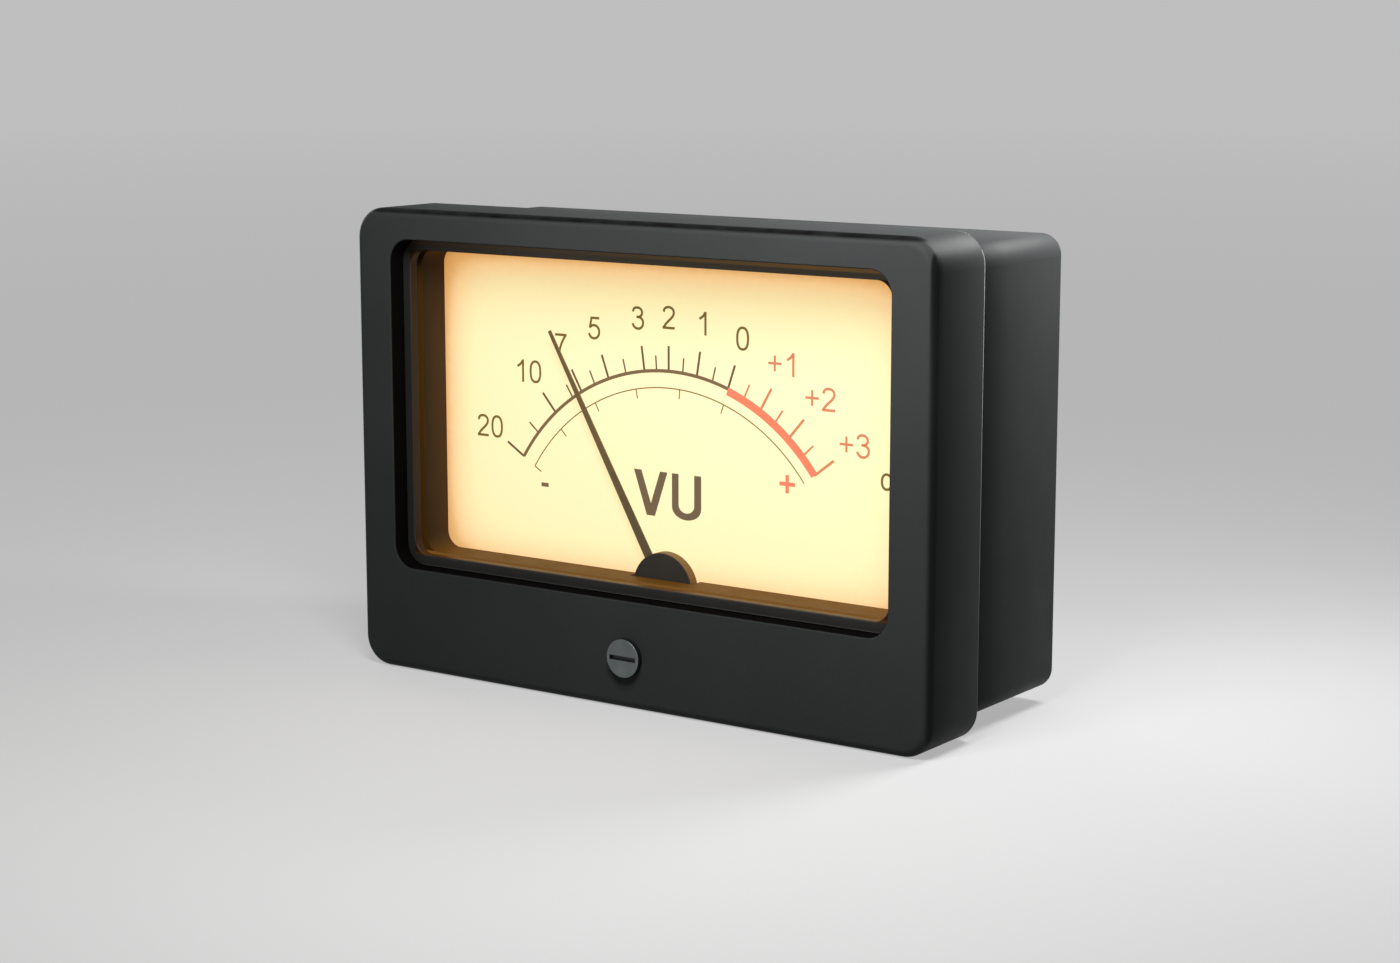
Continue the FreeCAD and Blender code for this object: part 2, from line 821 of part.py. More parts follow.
def hairspring(front):
    """A flat spiral of half turns about two centres, one spring_step apart."""
    half = spring_strip / 2
    outward, inward = [], []
    for turn in range(spring_turns):
        centre = 0 if turn % 2 == 0 else -spring_step
        side = 1 if turn % 2 == 0 else -1
        radius = spring_start + turn * spring_step
        for edges, r in ((outward, radius + half), (inward, radius - half)):
            start = Vector(centre - side * r, front, pivot_z)
            middle = Vector(centre, front, pivot_z + side * r)
            end = Vector(centre + side * r, front, pivot_z)
            edges.append(Part.Arc(start, middle, end).toShape())
    first = Part.makeLine(inward[0].Vertexes[0].Point, outward[0].Vertexes[0].Point)
    last = Part.makeLine(inward[-1].Vertexes[-1].Point, outward[-1].Vertexes[-1].Point)
    wire = Part.Wire(Part.__sortEdges__([first] + outward + [last] + inward))
    return Part.Face(wire).extrude(Vector(0, spring_width, 0))


def balance_cross():
    """Arms below and beside the pivot: the tail balances the needle and meets the stops."""
    half = cross_arm_width / 2
    cross = rod(cross_hub_radius, 0, pivot_z, cross_front, cross_back)
    cross = cross.fuse(block(-half, half, cross_front, cross_back, pivot_z - tail_reach, pivot_z))
    cross = cross.fuse(block(-side_arm_reach, side_arm_reach, cross_front, cross_back,
                             pivot_z - half, pivot_z + half))
    return cross.cut(rod(staff_radius, 0, pivot_z, cross_front, cross_back)).removeSplitter()


def balance_weights():
    """A bead on each side arm, and a slug on the tail that is as thick as they are."""
    middle = (cross_front + cross_back) / 2
    start = Vector(side_arm_reach - weight_inset - weight_length, middle, pivot_z)
    bead = Part.makeCylinder(weight_radius, weight_length, start, ALONG_X)
    top = pivot_z - cross_hub_radius - weight_inset
    slug = block(-tail_weight_width / 2, tail_weight_width / 2, middle - weight_radius,
                 middle + weight_radius, top - tail_weight_length, top)
    cross = balance_cross()
    return [weight.cut(cross) for weight in (bead, turned(bead, half_turn), slug)]


def zero_lever():
    """A ring on the bridge's boss, with a fork below it and the spring's anchor."""
    lever = rod(lever_ring_radius, 0, pivot_z, lever_front, lever_back)
    lever = lever.fuse(block(-lever_half_width, lever_half_width, lever_front, lever_back,
                             pivot_z - lever_reach, pivot_z))
    half = anchor_size / 2
    lever = lever.fuse(block(-half, half, front_spring_front, lever_front,
                             pivot_z - anchor_radius - half, pivot_z - anchor_radius + half))
    lever = lever.cut(rod(boss_radius + running_gap, 0, pivot_z, lever_front, lever_back))
    slot_half = pin_radius + fork_gap
    lever = lever.cut(block(-slot_half, slot_half, lever_front, lever_back,
                            pivot_z - lever_reach, pivot_z - fork_top))
    return lever.removeSplitter()


def lever_clip():
    return tube(lever_clip_radius, boss_radius, 0, pivot_z, boss_front, boss_front + lever_clip_thickness)


def zero_adjuster():
    head = rod(adjuster_head_radius, 0, adjuster_height, meter_front, -adjuster_head_gap)
    rim = edges_at(head, meter_front, adjuster_head_radius, 0, case_height)
    head = head.makeFillet(adjuster_head_round, rim)
    shank = rod(adjuster_shank_radius, 0, adjuster_height, -adjuster_head_gap, adjuster_back)
    shank = shank.cut(tube(clip_radius, groove_radius, 0, adjuster_height, groove_front, groove_back))
    pin = rod(pin_radius, 0, pin_z, adjuster_back, pin_back)
    slot = block(-adjuster_slot_length / 2, adjuster_slot_length / 2,
                 meter_front, meter_front + adjuster_slot_depth,
                 adjuster_height - adjuster_slot_width / 2, adjuster_height + adjuster_slot_width / 2)
    return head.multiFuse([shank, pin]).cut(slot).removeSplitter()


def adjuster_clip():
    clip = tube(clip_radius, groove_radius, 0, adjuster_height, groove_front, groove_back)
    return clip.cut(block(-clip_mouth / 2, clip_mouth / 2, groove_front, groove_back,
                          adjuster_height - clip_radius, adjuster_height))


def board_screw_places():
    x = board_half_width - board_screw_inset
    z = (board_low + board_high) / 2
    return [(-x, z), (x, z)]


def rectifier_board():
    board = block(-board_half_width, board_half_width, board_front, board_back, board_low, board_high)
    for x, z in board_screw_places():
        board = board.cut(rod(board_screw_radius, x, z, board_front, board_back))
    return board


def board_screws():
    """These face the front, so each is made facing the rear and mirrored."""
    screws = []
    for x, z in board_screw_places():
        made = screw(x, z, -board_back - board_screw_bite, -board_front, board_screw_radius,
                     board_screw_head_radius, board_screw_head)
        screws.append(made.mirror(Vector(0, 0, 0), ACROSS_Y))
    return screws


def board_part(x, z, radius, length):
    """A round part lying on the front of the board, along x."""
    start = Vector(x - length / 2, board_front - radius, z)
    return Part.makeCylinder(radius, length, start, ALONG_X)


def row_places(count, pitch):
    return [(place - (count - 1) / 2) * pitch for place in range(count)]


def rectifier_diodes():
    z = board_low + row_inset
    return [board_part(x, z, diode_radius, diode_length) for x in row_places(diode_count, diode_pitch)]


def series_resistors():
    z = board_high - row_inset
    return [board_part(x, z, resistor_radius, resistor_length) for x in row_places(2, resistor_pitch)]


def terminal_places():
    return [(-terminal_spacing / 2, terminal_height), (terminal_spacing / 2, terminal_height)]


def stud_places():
    return [(-stud_spacing / 2, case_height / 2), (stud_spacing / 2, case_height / 2)]


def tag_places():
    return [-tag_spacing / 2, tag_spacing / 2]


def signal_terminals():
    studs = []
    for x, z in terminal_places():
        head = rod(terminal_head_radius, x, z, inner_back - terminal_head, inner_back)
        base = rod(terminal_base_radius, x, z, inner_back, terminal_shoulder)
        end = rod(terminal_radius, x, z, terminal_shoulder, case_depth + terminal_reach)
        studs.append(head.multiFuse([base, end]).removeSplitter())
    return studs


def mounting_studs():
    studs = []
    for x, z in stud_places():
        head = rod(stud_head_radius, x, z, inner_back - stud_head, inner_back)
        base = rod(stud_base_radius, x, z, inner_back, stud_shoulder)
        end = rod(stud_radius, x, z, stud_shoulder, case_depth + stud_reach)
        studs.append(head.multiFuse([base, end]).removeSplitter())
    return studs


def terminal_washers():
    return [tube(terminal_washer_radius, terminal_base_radius, x, z, case_depth, lug_front)
            for x, z in terminal_places()]


def mounting_washers():
    return [tube(stud_washer_radius, stud_base_radius, x, z, case_depth, stud_nut_front)
            for x, z in stud_places()]


def terminal_nuts():
    return [nut(terminal_nut_flats, terminal_base_radius, x, z, lug_back, terminal_nut_thickness)
            for x, z in terminal_places()]


def mounting_nuts():
    return [nut(stud_nut_flats, stud_base_radius, x, z, stud_nut_front, stud_nut_thickness)
            for x, z in stud_places()]


def terminal_lugs():
    half = lug_width / 2
    lugs = []
    for x, z in terminal_places():
        lug = rod(lug_ring_radius, x, z, lug_front, lug_back)
        lug = lug.fuse(block(x - half, x + half, lug_front, lug_back, z - lug_length, z))
        lug = lug.cut(rod(terminal_base_radius, x, z, lug_front, lug_back))
        lug = lug.cut(rod(lug_eye, x, z - lug_length + lug_eye_inset, lug_front, lug_back))
        lugs.append(lug.removeSplitter())
    return lugs


def tag_blade(x, front, back):
    return block(x - tag_width / 2, x + tag_width / 2, front, back,
                 tag_height - tag_thickness / 2, tag_height + tag_thickness / 2)


def lamp_tags():
    tags = []
    for x in tag_places():
        back = case_depth + tag_reach
        start = Vector(x, back - tag_eye_inset, tag_height - tag_thickness)
        eye = Part.makeCylinder(tag_eye, 2 * tag_thickness, start, UPWARD)
        tags.append(tag_blade(x, inner_back - tag_inside, back).cut(eye))
    return tags


def signal_leads():
    leads = []
    for x, z in terminal_places():
        height = board_low + wire_board_inset
        leads.append(wire_run([Vector(x, inner_back - terminal_head, z), Vector(x, wire_depth, z),
                               Vector(x, wire_depth, height), Vector(x, board_back, height)]))
    return leads


def coil_leads():
    """One wire to each bridge: the hairsprings carry the current on to the coil."""
    x = coil_wire_spacing / 2
    height = board_low + wire_board_inset
    rear_middle = (rear_bridge_front + rear_bridge_back) / 2
    front_middle = (chassis_back + bridge_back) / 2
    rear = wire_run([Vector(x, board_back, height), Vector(x, rear_middle, height),
                     Vector(x, rear_middle, pivot_z + leg_half_height)])
    front = wire_run([Vector(-x, board_front, height), Vector(-x, front_middle, height),
                      Vector(-x, front_middle, pivot_z + bridge_half_height)])
    return [rear, front]


def lamp_leads():
    lamp_depth = diffuser_back + guide_thickness / 2
    board_under = stack_low - led_gap - led_height - led_board_thickness
    leads = []
    for side in (-1, 1):
        start, out = side * tag_spacing / 2, side * lead_hole_x()
        leads.append(wire_run([Vector(start, inner_back - tag_inside, tag_height),
                               Vector(start, wire_depth, tag_height),
                               Vector(out, wire_depth, tag_height),
                               Vector(out, wire_depth, lead_hole_z()),
                               Vector(out, lamp_depth, lead_hole_z()),
                               Vector(out, lamp_depth, board_under)]))
    return leads


def save_case():
    save("bezel", bezel())
    save("window_frame", window_frame())
    save("window_seal", window_seal())
    save("window_glass", window_glass())
    save("light_shroud", light_shroud())
    save("housing", housing())
    save("case_screws", case_screws())


def save_light_stack():
    save("dial_plate", stack_sheet(dial_front, dial_back, dial_notch_radius))
    save("light_diffuser", stack_sheet(dial_back, diffuser_back, notch_radius))
    save("light_guide", stack_sheet(diffuser_back, guide_back, notch_radius))
    save("light_reflector", stack_sheet(guide_back, chassis_front, notch_radius))
    save("led_boards", led_boards())
    save("lamp_leds", lamp_leds())
    save("chassis", chassis())


def save_movement():
    save("front_bridge", front_bridge())
    save("front_jewel", front_jewel())
    save("bridge_screws", bridge_screws())
    save("yoke_ring", yoke_ring())
    save("core_magnet", core_magnet())
    save("core_spacers", core_spacers())
    save("rear_bridge", rear_bridge())
    save("movement_screws", movement_screws())
    save("jewel_screw", jewel_screw())
    save("jewel_nut", jewel_nut())
    save("stop_pins", stop_pins())


def save_pointer():
    """The turning assembly, made with the needle straight up and turned to its rest."""
    save("pointer_needle", turned(pointer_needle(), pointer_rest))
    save("pointer_hub", turned(pointer_hub(), pointer_rest))
    save("front_staff", front_staff())
    save("rear_staff", rear_staff())
    coil_angle = pointer_rest - coil_mid_angle
    save("coil_former", turned(coil_former(), coil_angle))
    save("coil_winding", turned(coil_winding(), coil_angle))
    save("front_hairspring", turned(hairspring(front_spring_front), pointer_rest))
    save("rear_hairspring", turned(hairspring(rear_spring_front), pointer_rest))
    save("balance_cross", turned(balance_cross(), pointer_rest))
    save("balance_weights", [turned(bead, pointer_rest) for bead in balance_weights()])


def save_zero_adjustment():
    save("zero_adjuster", zero_adjuster())
    save("adjuster_clip", adjuster_clip())
    save("zero_lever", zero_lever())
    save("lever_clip", lever_clip())


def save_rear_fittings():
    save("rectifier_board", rectifier_board())
    save("rectifier_diodes", rectifier_diodes())
    save("series_resistors", series_resistors())
    save("board_screws", board_screws())
    save("signal_terminals", signal_terminals())
    save("terminal_washers", terminal_washers())
    save("terminal_lugs", terminal_lugs())
    save("terminal_nuts", terminal_nuts())
    save("lamp_tags", lamp_tags())
    save("mounting_studs", mounting_studs())
    save("mounting_washers", mounting_washers())
    save("mounting_nuts", mounting_nuts())
    save("signal_leads", signal_leads())
    save("coil_leads", coil_leads())
    save("lamp_leads", lamp_leads())


os.makedirs("parts", exist_ok=True)
save_case()
save_light_stack()
save_movement()
save_pointer()
save_zero_adjustment()
save_rear_fittings()
print("case %.2f x %.2f x %.2f, whole depth %.2f" % (case_width, case_depth, case_height,
                                                     meter_back - meter_front))
print("depth offset %.3f, pivot height %.3f" % (middle_depth, pivot_z))
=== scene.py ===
"""Looks of the panel meter: a finish for every part, the dial's printing, the studs' threads,
the stage, the lights and the camera."""
import math

import bmesh
import bpy
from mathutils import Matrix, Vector

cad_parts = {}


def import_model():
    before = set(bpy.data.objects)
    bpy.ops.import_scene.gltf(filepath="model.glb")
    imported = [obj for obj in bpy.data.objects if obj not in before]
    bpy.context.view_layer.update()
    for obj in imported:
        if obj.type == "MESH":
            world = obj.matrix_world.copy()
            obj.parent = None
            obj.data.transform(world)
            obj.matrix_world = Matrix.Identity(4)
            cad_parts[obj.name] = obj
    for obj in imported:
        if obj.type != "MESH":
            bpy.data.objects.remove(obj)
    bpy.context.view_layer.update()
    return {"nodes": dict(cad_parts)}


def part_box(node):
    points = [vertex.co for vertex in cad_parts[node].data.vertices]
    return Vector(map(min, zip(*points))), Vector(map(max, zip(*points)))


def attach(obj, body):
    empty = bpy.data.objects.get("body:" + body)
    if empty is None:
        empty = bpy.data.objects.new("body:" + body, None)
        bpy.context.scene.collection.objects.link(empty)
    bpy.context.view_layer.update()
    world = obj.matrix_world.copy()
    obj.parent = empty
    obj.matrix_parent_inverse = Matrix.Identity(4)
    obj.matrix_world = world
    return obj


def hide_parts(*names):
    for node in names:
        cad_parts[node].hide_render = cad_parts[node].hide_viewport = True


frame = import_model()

MM = 0.001
BLACK = (0.0, 0.0, 0.0, 1.0)
WHITE = (1.0, 1.0, 1.0, 1.0)
EVEN = (1.0, 1.0, 1.0)

# How well a normal agrees with those round it, on an open face and on a sharp edge.
OPEN_MATCH = 0.995
EDGE_MATCH = 0.90

# Most of a noise lies between these.
NOISE_LOW = 0.3
NOISE_HIGH = 0.7

# Sizes and places are in millimetres: across from the middle, depth from front to rear, and height.
# A pair of places is where something starts and where it is full, unless its comment says otherwise.

# Window tunnel in front of the dial, its front edge, the depths between which its walls turn lighter as
# painted light from the dial, how far its walls' finish reaches into them, and the axis that the pointer
# turns about.
TUNNEL_HALF = 46.0
TUNNEL_LOW = 19.2
TUNNEL_HIGH = 69.9
TUNNEL_FRONT = -20.85
WALL_LIGHTENS = (-20.9, -15.3)
TUNNEL_SLACK = 0.02
PIVOT_HEIGHT = 17.7

# Case: half width, height, and the depths of its front, of the step behind the bezel and of its rear.
CASE_HALF = 55.0
CASE_HIGH = 76.7
CASE_MIDDLE = CASE_HIGH / 2
CASE_FRONT = -26.875
STEP_DEPTH = -12.275
CASE_REAR = 15.925

# How far the normal leans at the edges of the case's faces: across and up them, and along the bezel and
# the housing. The top leans to the front as well, by the two shares at its left and its right end.
FACE_CROWN = 0.12
BEZEL_CROWN = 0.10
HOUSING_CROWN = 0.26
TOP_LEAN = (-0.75, -0.22)

# Marks in the case's finish. RIM: the painted shade along the front rim, by the distance to either side and
# up or down from the middle, and by depth and height.
RIM_WIDE = (54.0, 54.4)
RIM_HIGH = (37.5, 37.9)
RIM_DEPTH = (-24.4, -25.2)
RIM_RISE = (55.0, 72.0)
RIM_SHADE_BLACK = (7, 7, 7)
# Light wear on the edges, which is also a painted highlight, is left off in front of this depth.
WEAR_AND_HIGHLIGHT_FRONT = -26.0
WEAR_AND_HIGHLIGHT_GREY = (92, 94, 94)

# Two painted shades on the case's right side: the bezel's, from SHADE_START to the step, and the housing's,
# from the step over SHADE_LENGTH. The housing's is weaker on faces that aren't turned to the right.
BEZEL_SHADE = 0.85
HOUSING_SHADE = (0.1, 0.8)
SIDE_WIDE = (54.0, 54.6)
SIDE_TURNED = (0.2, 0.8)
SHADE_START = CASE_FRONT + 1.2
SHADE_LENGTH = 11.0
PAINTED_SHADE_GREY = (20, 21, 21)
STEP_SLACK = 0.03

# The painted highlight on the bezel's rear edge: its depths, how far out it starts, and its rise to full
# light.
LINE_DEPTHS = (STEP_DEPTH - 0.4, STEP_DEPTH + 0.02)
LINE_WIDE = 54.4
LINE_HIGH = 37.8
LINE_RISE = (15.0, 60.0)
HIGHLIGHT_GREY = (176, 178, 179)

# Window opening in the bezel: half width, lowest and highest place, rear, and the black painted on its walls
# behind the front for their shade.
OPENING_HALF = 48.2
OPENING_HEIGHTS = (16.9, 72.2)
OPENING_REAR = -20.0
OPENING_BLACK_FROM = (-26.87, -26.68)
OPENING_SHADE_BLACK = (6, 5, 5)

# Window frame: the painted highlight on its lower edge, its walls, painted lighter at their foot as lit, and
# two steps of painted light up its top bar with the painted glow of the dial's light, which fades to the left
# under a painted shade.
FRAME_LOW_EDGE_HIGHLIGHT = (17.75, 17.55)
FRAME_WALLS = (19.3, 19.8)
BAR_SHADE = 0.45
BAR_SHADE_RISE = (69.0, 70.0)
BAR_SHADE_WIDE = (-26.0, -44.0)
BAR_LOW = (69.8, 70.0)
BAR_HIGH = (70.8, 71.0)
LOW_SPILL_RISE = (69.9, 70.1)
LOW_SPILL_WIDE = (-46.0, -18.0)
HIGH_SPILL_RISE = (70.75, 70.95)
HIGH_SPILL_WIDE = (-24.0, 31.0)

# Pointer: where its needle turns lighter with a painted glow of the dial, and the hub's rim with its painted
# brown glow, as distances from the axis.
NEEDLE_LIGHTENS = (8.0, 26.0)
NEEDLE_TONES = (((108, 90, 62), (101, 84, 58)), ((126, 102, 64), (118, 95, 59)))
HUB_RIM = (5.66, 5.72)

# Zero screw: the height of its axis, and its slot.
ADJUSTER_HEIGHT = 8.35
SLOT_HALF_WIDTH = 0.375
SLOT_HALF_LENGTH = 2.51
SLOT_DEPTHS = (-27.9, -27.75)

# Light through the dial: the share lost at each edge, which paints the shade of the tunnel's walls, the
# distance from it over which that loss falls to about a third, and the light's colour by its strength, in
# linear red, green and blue.
LOSS_LEFT = 0.55
LOSS_RIGHT = 0.66
LOSS_LOW = 0.36
LOSS_HIGH = 0.64
LOSS_REACH = 4.2
GLOW = (
    (0.20, (0.50, 0.22, 0.05, 1.0)),
    (0.342, (0.72, 0.35, 0.10, 1.0)),
    (0.479, (0.82, 0.43, 0.135, 1.0)),
    (0.623, (1.0, 0.635, 0.29, 1.0)),
    (0.783, (1.0, 0.785, 0.39, 1.0)),
    (0.87, (1.0, 0.845, 0.43, 1.0)),
    (1.0, (1.0, 0.835, 0.45, 1.0)),
)
DIAL_CREAM = (0.35, 0.33, 0.24, 1.0)

# Coloured bands on the electronic parts: their width, their offsets from a part's middle, and the middles.
BAND_WIDTH = 0.6
RESISTOR_BANDS = ((-2.1, (120, 66, 30)), (-1.0, (24, 24, 24)), (0.1, (24, 24, 24)), (1.2, (170, 40, 30)),
                  (2.4, (190, 150, 60)))
RESISTOR_MIDDLES = (-7.0, 7.0)
DIODE_BANDS = ((1.6, (200, 202, 204)),)
DIODE_MIDDLES = (-9.75, -3.25, 3.25, 9.75)

# Printed scale: radii from the pivot and angles from upright, right positive.
PRINT_LIFT = 0.03
PRINT_SINK = 0.01
PRINT_STEP_DOWN = 0.004
ARC_RADIUS = 34.68
ARC_WIDTH = 0.55
FINE_RADIUS = 32.0
FINE_WIDTH = 0.18
FINE_TICK = 1.54
FINE_TICK_WIDTH = 0.19
MAJOR_REACH = 38.7
MINOR_REACH = 37.1
RED_WIDTH = 1.3
SCALE_START = -58.0
SCALE_ZERO = 19.1
SCALE_END = 53.0
BLACK_MAJOR = (-58.0, -40.9, -30.0, -20.0, -7.85, 0.0, 9.0, 19.1)
BLACK_MINOR = (-49.4, -33.5, -25.0, -14.0, -3.9, 4.5, 14.0)
RED_MAJOR = (30.2, 41.1, 53.0)
RED_MINOR = (24.5, 35.5, 47.1)
FINE_TICKS = (-58.0, -42.5, -27.1, -11.6, 3.8, 19.2)
BLACK_MAJOR_WIDTH = 0.4
BLACK_MINOR_WIDTH = 0.28
RED_MAJOR_WIDTH = 0.43
RED_MINOR_WIDTH = 0.32

# Strokes: the degrees between the places along an arc, the least share of a stroke's width at a bend, and
# the distance in metres within which a mesh's points are joined.
ARC_STEP = 1.5
MITRE_LIMIT = 0.8
WELD = 1e-7

# Inks: name, sRGB levels, and the share of the backlight that each lets through.
INKS = (
    ("arc", (129, 105, 69), 0.8), ("tick", (114, 89, 57), 0.8), ("numeral", (126, 104, 44), 0.8),
    ("bold", (118, 98, 73), 0.8), ("fine", (135, 105, 50), 0.8), ("red", (251, 133, 99), 0.86),
    ("red_thin", (222, 136, 95), 0.86),
)

# Lettering: the cap height, and shares of it.
CAP = 3.71
STROKE = 0.11
ADVANCE = 0.813
PLUS_LEAD = 0.466
PLUS_SIZE = 0.653
PLUS_STROKE = 0.104
PLUS_RISE = 0.508

# Words on the dial: text, left of the first digit and baseline.
BLACK_TEXT = (
    ("20", -39.30, 38.66), ("10", -31.08, 48.41), ("7", -22.81, 53.25), ("5", -15.96, 56.44),
    ("3", -7.23, 58.59), ("2", -1.25, 59.04), ("1", 5.42, 58.54), ("0", 12.86, 56.68), ("dB", 39.27, 37.34),
)
RED_TEXT = (("+1", 21.80, 53.24), ("+2", 28.64, 48.44), ("+3", 34.86, 41.84))

# The letters V and U: the V's two edges, and for each edge of the U its left and right top, then the
# middle, half width and half height of its bowl.
V_LEFT = ((-6.89, 36.16), (-4.37, 28.90), (-2.76, 28.90), (-0.29, 36.16))
V_RIGHT = ((-5.42, 36.16), (-3.56, 30.87), (-3.56, 30.87), (-1.75, 36.16))
U_TOP = 36.14
U_OUTER = (0.59, 6.26, (3.43, 30.78), 2.83, 1.97)
U_INNER = (1.88, 4.92, (3.40, 31.17), 1.52, 1.25)

# The large signs at the ends of the scale: the minus's two ends, and the plus's middle and size.
MINUS_ENDS = ((-25.81, 31.73), (-24.31, 31.73))
MINUS_STROKE = 0.66
BIG_PLUS_MIDDLE = (22.46, 36.56)
BIG_PLUS_SIZE = 2.86
BIG_PLUS_STROKE = 0.62

# Studs and terminals: places of their pairs, and radius and thickness of their heads.
STUD_PLACES = ((-40.0, CASE_MIDDLE), (40.0, CASE_MIDDLE))
STUD_HEAD = (4.0, 2.0)
TERMINAL_PLACES = ((-14.0, 30.0), (14.0, 30.0))
TERMINAL_HEAD = (3.5, 1.5)

# Metric threads: radius and pitch.
M3 = (1.5, 0.5)
M4 = (2.0, 0.7)
M5 = (2.5, 0.8)

# The bevels of a head or base and of a free end, how far a base passes its nut, and the depth of a thread
# as a share of its pitch.
BASE_BEVEL = 0.2
END_BEVEL = 0.35
OVERSTAND = 0.5
THREAD_DEPTH = 0.54
RINGS_PER_TURN = 8

# Light from the room on the part, and the room's brightness where it is seen.
AMBIENT = 0.055
BACKGROUND = 0.52

# Floor: paint and glow near the part, the distances in metres over which it turns into the room, radius
# in metres, and how far it lies under the part.
FLOOR_LEVEL = 128
FLOOR_GLOW = 0.42
FLOOR_NEAR = 0.3
FLOOR_FAR = 2.2
FLOOR_RADIUS = 12.0
FLOOR_DROP = 0.02

# Camera: lens and sensor width in millimetres, nearest view and place in metres, and turns in radians.
CAMERA_LENS = 70.36
CAMERA_SENSOR = 36.0
CAMERA_NEAR = 0.01
CAMERA_PLACE = (0.250389, -0.362705, 0.108813)
CAMERA_DOWN = 0.1712785
CAMERA_TURN = 0.6129673


def linear(level):
    """One sRGB level from 0 to 255 as a linear share."""
    share = level / 255
    return share / 12.92 if share <= 0.04045 else ((share + 0.055) / 1.055) ** 2.4


def tint(*levels, gain=1.0):
    """Three sRGB levels as a colour that a node takes."""
    return tuple(linear(level) * gain for level in levels) + (1.0,)


class Finish:
    """A material of one Principled shader, and the nodes that feed it."""

    def __init__(self, name, **constants):
        self.name = name
        self.material = bpy.data.materials.new(name)
        self.material.use_nodes = True
        self.tree = self.material.node_tree
        self.shader = self.tree.nodes["Principled BSDF"]
        self.place = self.add("ShaderNodeTexCoord").outputs["Object"]
        self.across, self.depth, self.height = self.parts(self.place)
        self.feed(**constants)

    def add(self, kind, inputs=(), **settings):
        """A new node with these settings and inputs."""
        node = self.tree.nodes.new(kind)
        for name, value in settings.items():
            setattr(node, name, value)
        for key, value in dict(inputs).items():
            self.join(node.inputs[key], value)
        return node

    def join(self, socket, value):
        """Links the value if another node gives it, and sets it otherwise."""
        if isinstance(value, bpy.types.NodeSocket):
            self.tree.links.new(value, socket)
        else:
            socket.default_value = value

    def feed(self, **values):
        """Sets the shader's sockets, named with _ for a space, and returns the finish."""
        for socket, value in values.items():
            self.join(self.shader.inputs[socket.replace("_", " ")], value)
        return self

    def maths(self, operation, *terms):
        return self.add("ShaderNodeMath", enumerate(terms), operation=operation).outputs[0]

    def times(self, product, *factors):
        for factor in factors:
            product = self.maths("MULTIPLY", product, factor)
        return product

    def parts(self, vector):
        """The three parts of a vector: across, depth and height."""
        return self.add("ShaderNodeSeparateXYZ", {0: vector}).outputs[:]

    def normal(self):
        """The direction that the surface faces."""
        return self.add("ShaderNodeNewGeometry").outputs["Normal"]

    def noise(self, scale, detail=3.0, stretch=EVEN):
        """Noise with that many patches per metre, drawn out along an axis whose stretch is under 1."""
        place = self.add("ShaderNodeMapping", {"Vector": self.place, "Scale": stretch}).outputs[0]
        return self.add("ShaderNodeTexNoise", {"Vector": place, "Scale": scale, "Detail": detail}).outputs[0]

    def wave(self, scale, distortion, place=None, **settings):
        """Bands or rings that follow each other evenly."""
        inputs = {"Vector": place or self.place, "Scale": scale, "Distortion": distortion}
        return self.add("ShaderNodeTexWave", inputs, **settings).outputs[1]

    def span(self, value, low, high, start=0.0, end=1.0):
        """value from low to high, turned into start to end and held there beyond."""
        limits = {"Value": value, "From Min": low, "From Max": high, "To Min": start, "To Max": end}
        return self.add("ShaderNodeMapRange", limits).outputs[0]

    def spread(self, noise, start=0.0, end=1.0):
        """A noise's usual values, turned into start to end."""
        return self.span(noise, NOISE_LOW, NOISE_HIGH, start, end)

    def patches(self, scale, detail=3.0, low=NOISE_LOW, high=NOISE_HIGH, start=0.0, end=1.0):
        """Noise from low to high, turned into start to end."""
        return self.span(self.noise(scale, detail), low, high, start, end)

    def fade(self, value, low, high, start=0.0, end=1.0):
        """A place or distance from low to high in millimetres, turned into start to end."""
        return self.span(value, low * MM, high * MM, start, end)

    def above(self, value, low):
        """1 where a place or distance is more than low millimetres, and 0 elsewhere."""
        return self.maths("GREATER_THAN", value, low * MM)

    def under(self, value, high):
        """1 where a place or distance is less than high millimetres, and 0 elsewhere."""
        return self.maths("LESS_THAN", value, high * MM)

    def within(self, value, low, high):
        return self.times(self.above(value, low), self.under(value, high))

    def mix(self, share, first, second):
        return self.add("ShaderNodeMix", {0: share, 6: first, 7: second}, data_type="RGBA").outputs[2]

    def marked(self, paint, *marks):
        """The paint with marks on it, each one its share by place and its sRGB levels."""
        for share, levels in marks:
            paint = self.mix(share, paint, tint(*levels))
        return paint

    def edges(self, radius):
        """1 along sharp edges and 0 on open faces."""
        soft = self.add("ShaderNodeBevel", {"Radius": radius * MM}, samples=4).outputs[0]
        pair = {0: soft, 1: self.normal()}
        match = self.add("ShaderNodeVectorMath", pair, operation="DOT_PRODUCT").outputs["Value"]
        return self.span(match, OPEN_MATCH, EDGE_MATCH)

    def bump(self, relief, size, base=None):
        """The normal of a relief that is size millimetres high, on a surface with the normal base."""
        inputs = {"Height": relief, "Distance": size * MM}
        if base:
            inputs["Normal"] = base
        return self.add("ShaderNodeBump", inputs).outputs[0]


def surface(name, colour, shade, rough, patch, grain, size, stretch=EVEN, wear=None, **constants):
    """A finish whose colour drifts from colour to shade, with grain in its bump and gloss, and lighter edges:
    wear, which on the frame is also a painted highlight.
    """
    finish = Finish(name, **constants)
    paint = finish.mix(finish.patches(patch, 4.0, 0.32, 0.68), tint(*colour), tint(*shade))
    gloss = finish.spread(finish.noise(patch * 3.1, 3.0, stretch), *rough)
    if wear:
        edge_wear_and_highlight = finish.times(finish.edges(0.22), finish.patches(700.0, 3.0, 0.35, 0.6, 0.15, 0.8))
        paint = finish.marked(paint, (edge_wear_and_highlight, wear))
        gloss = finish.maths("SUBTRACT", gloss, finish.times(edge_wear_and_highlight, 0.12))
    relief = finish.bump(finish.noise(grain, 2.0, stretch), size)
    return finish.feed(Base_Color=paint, Roughness=gloss, Normal=relief)


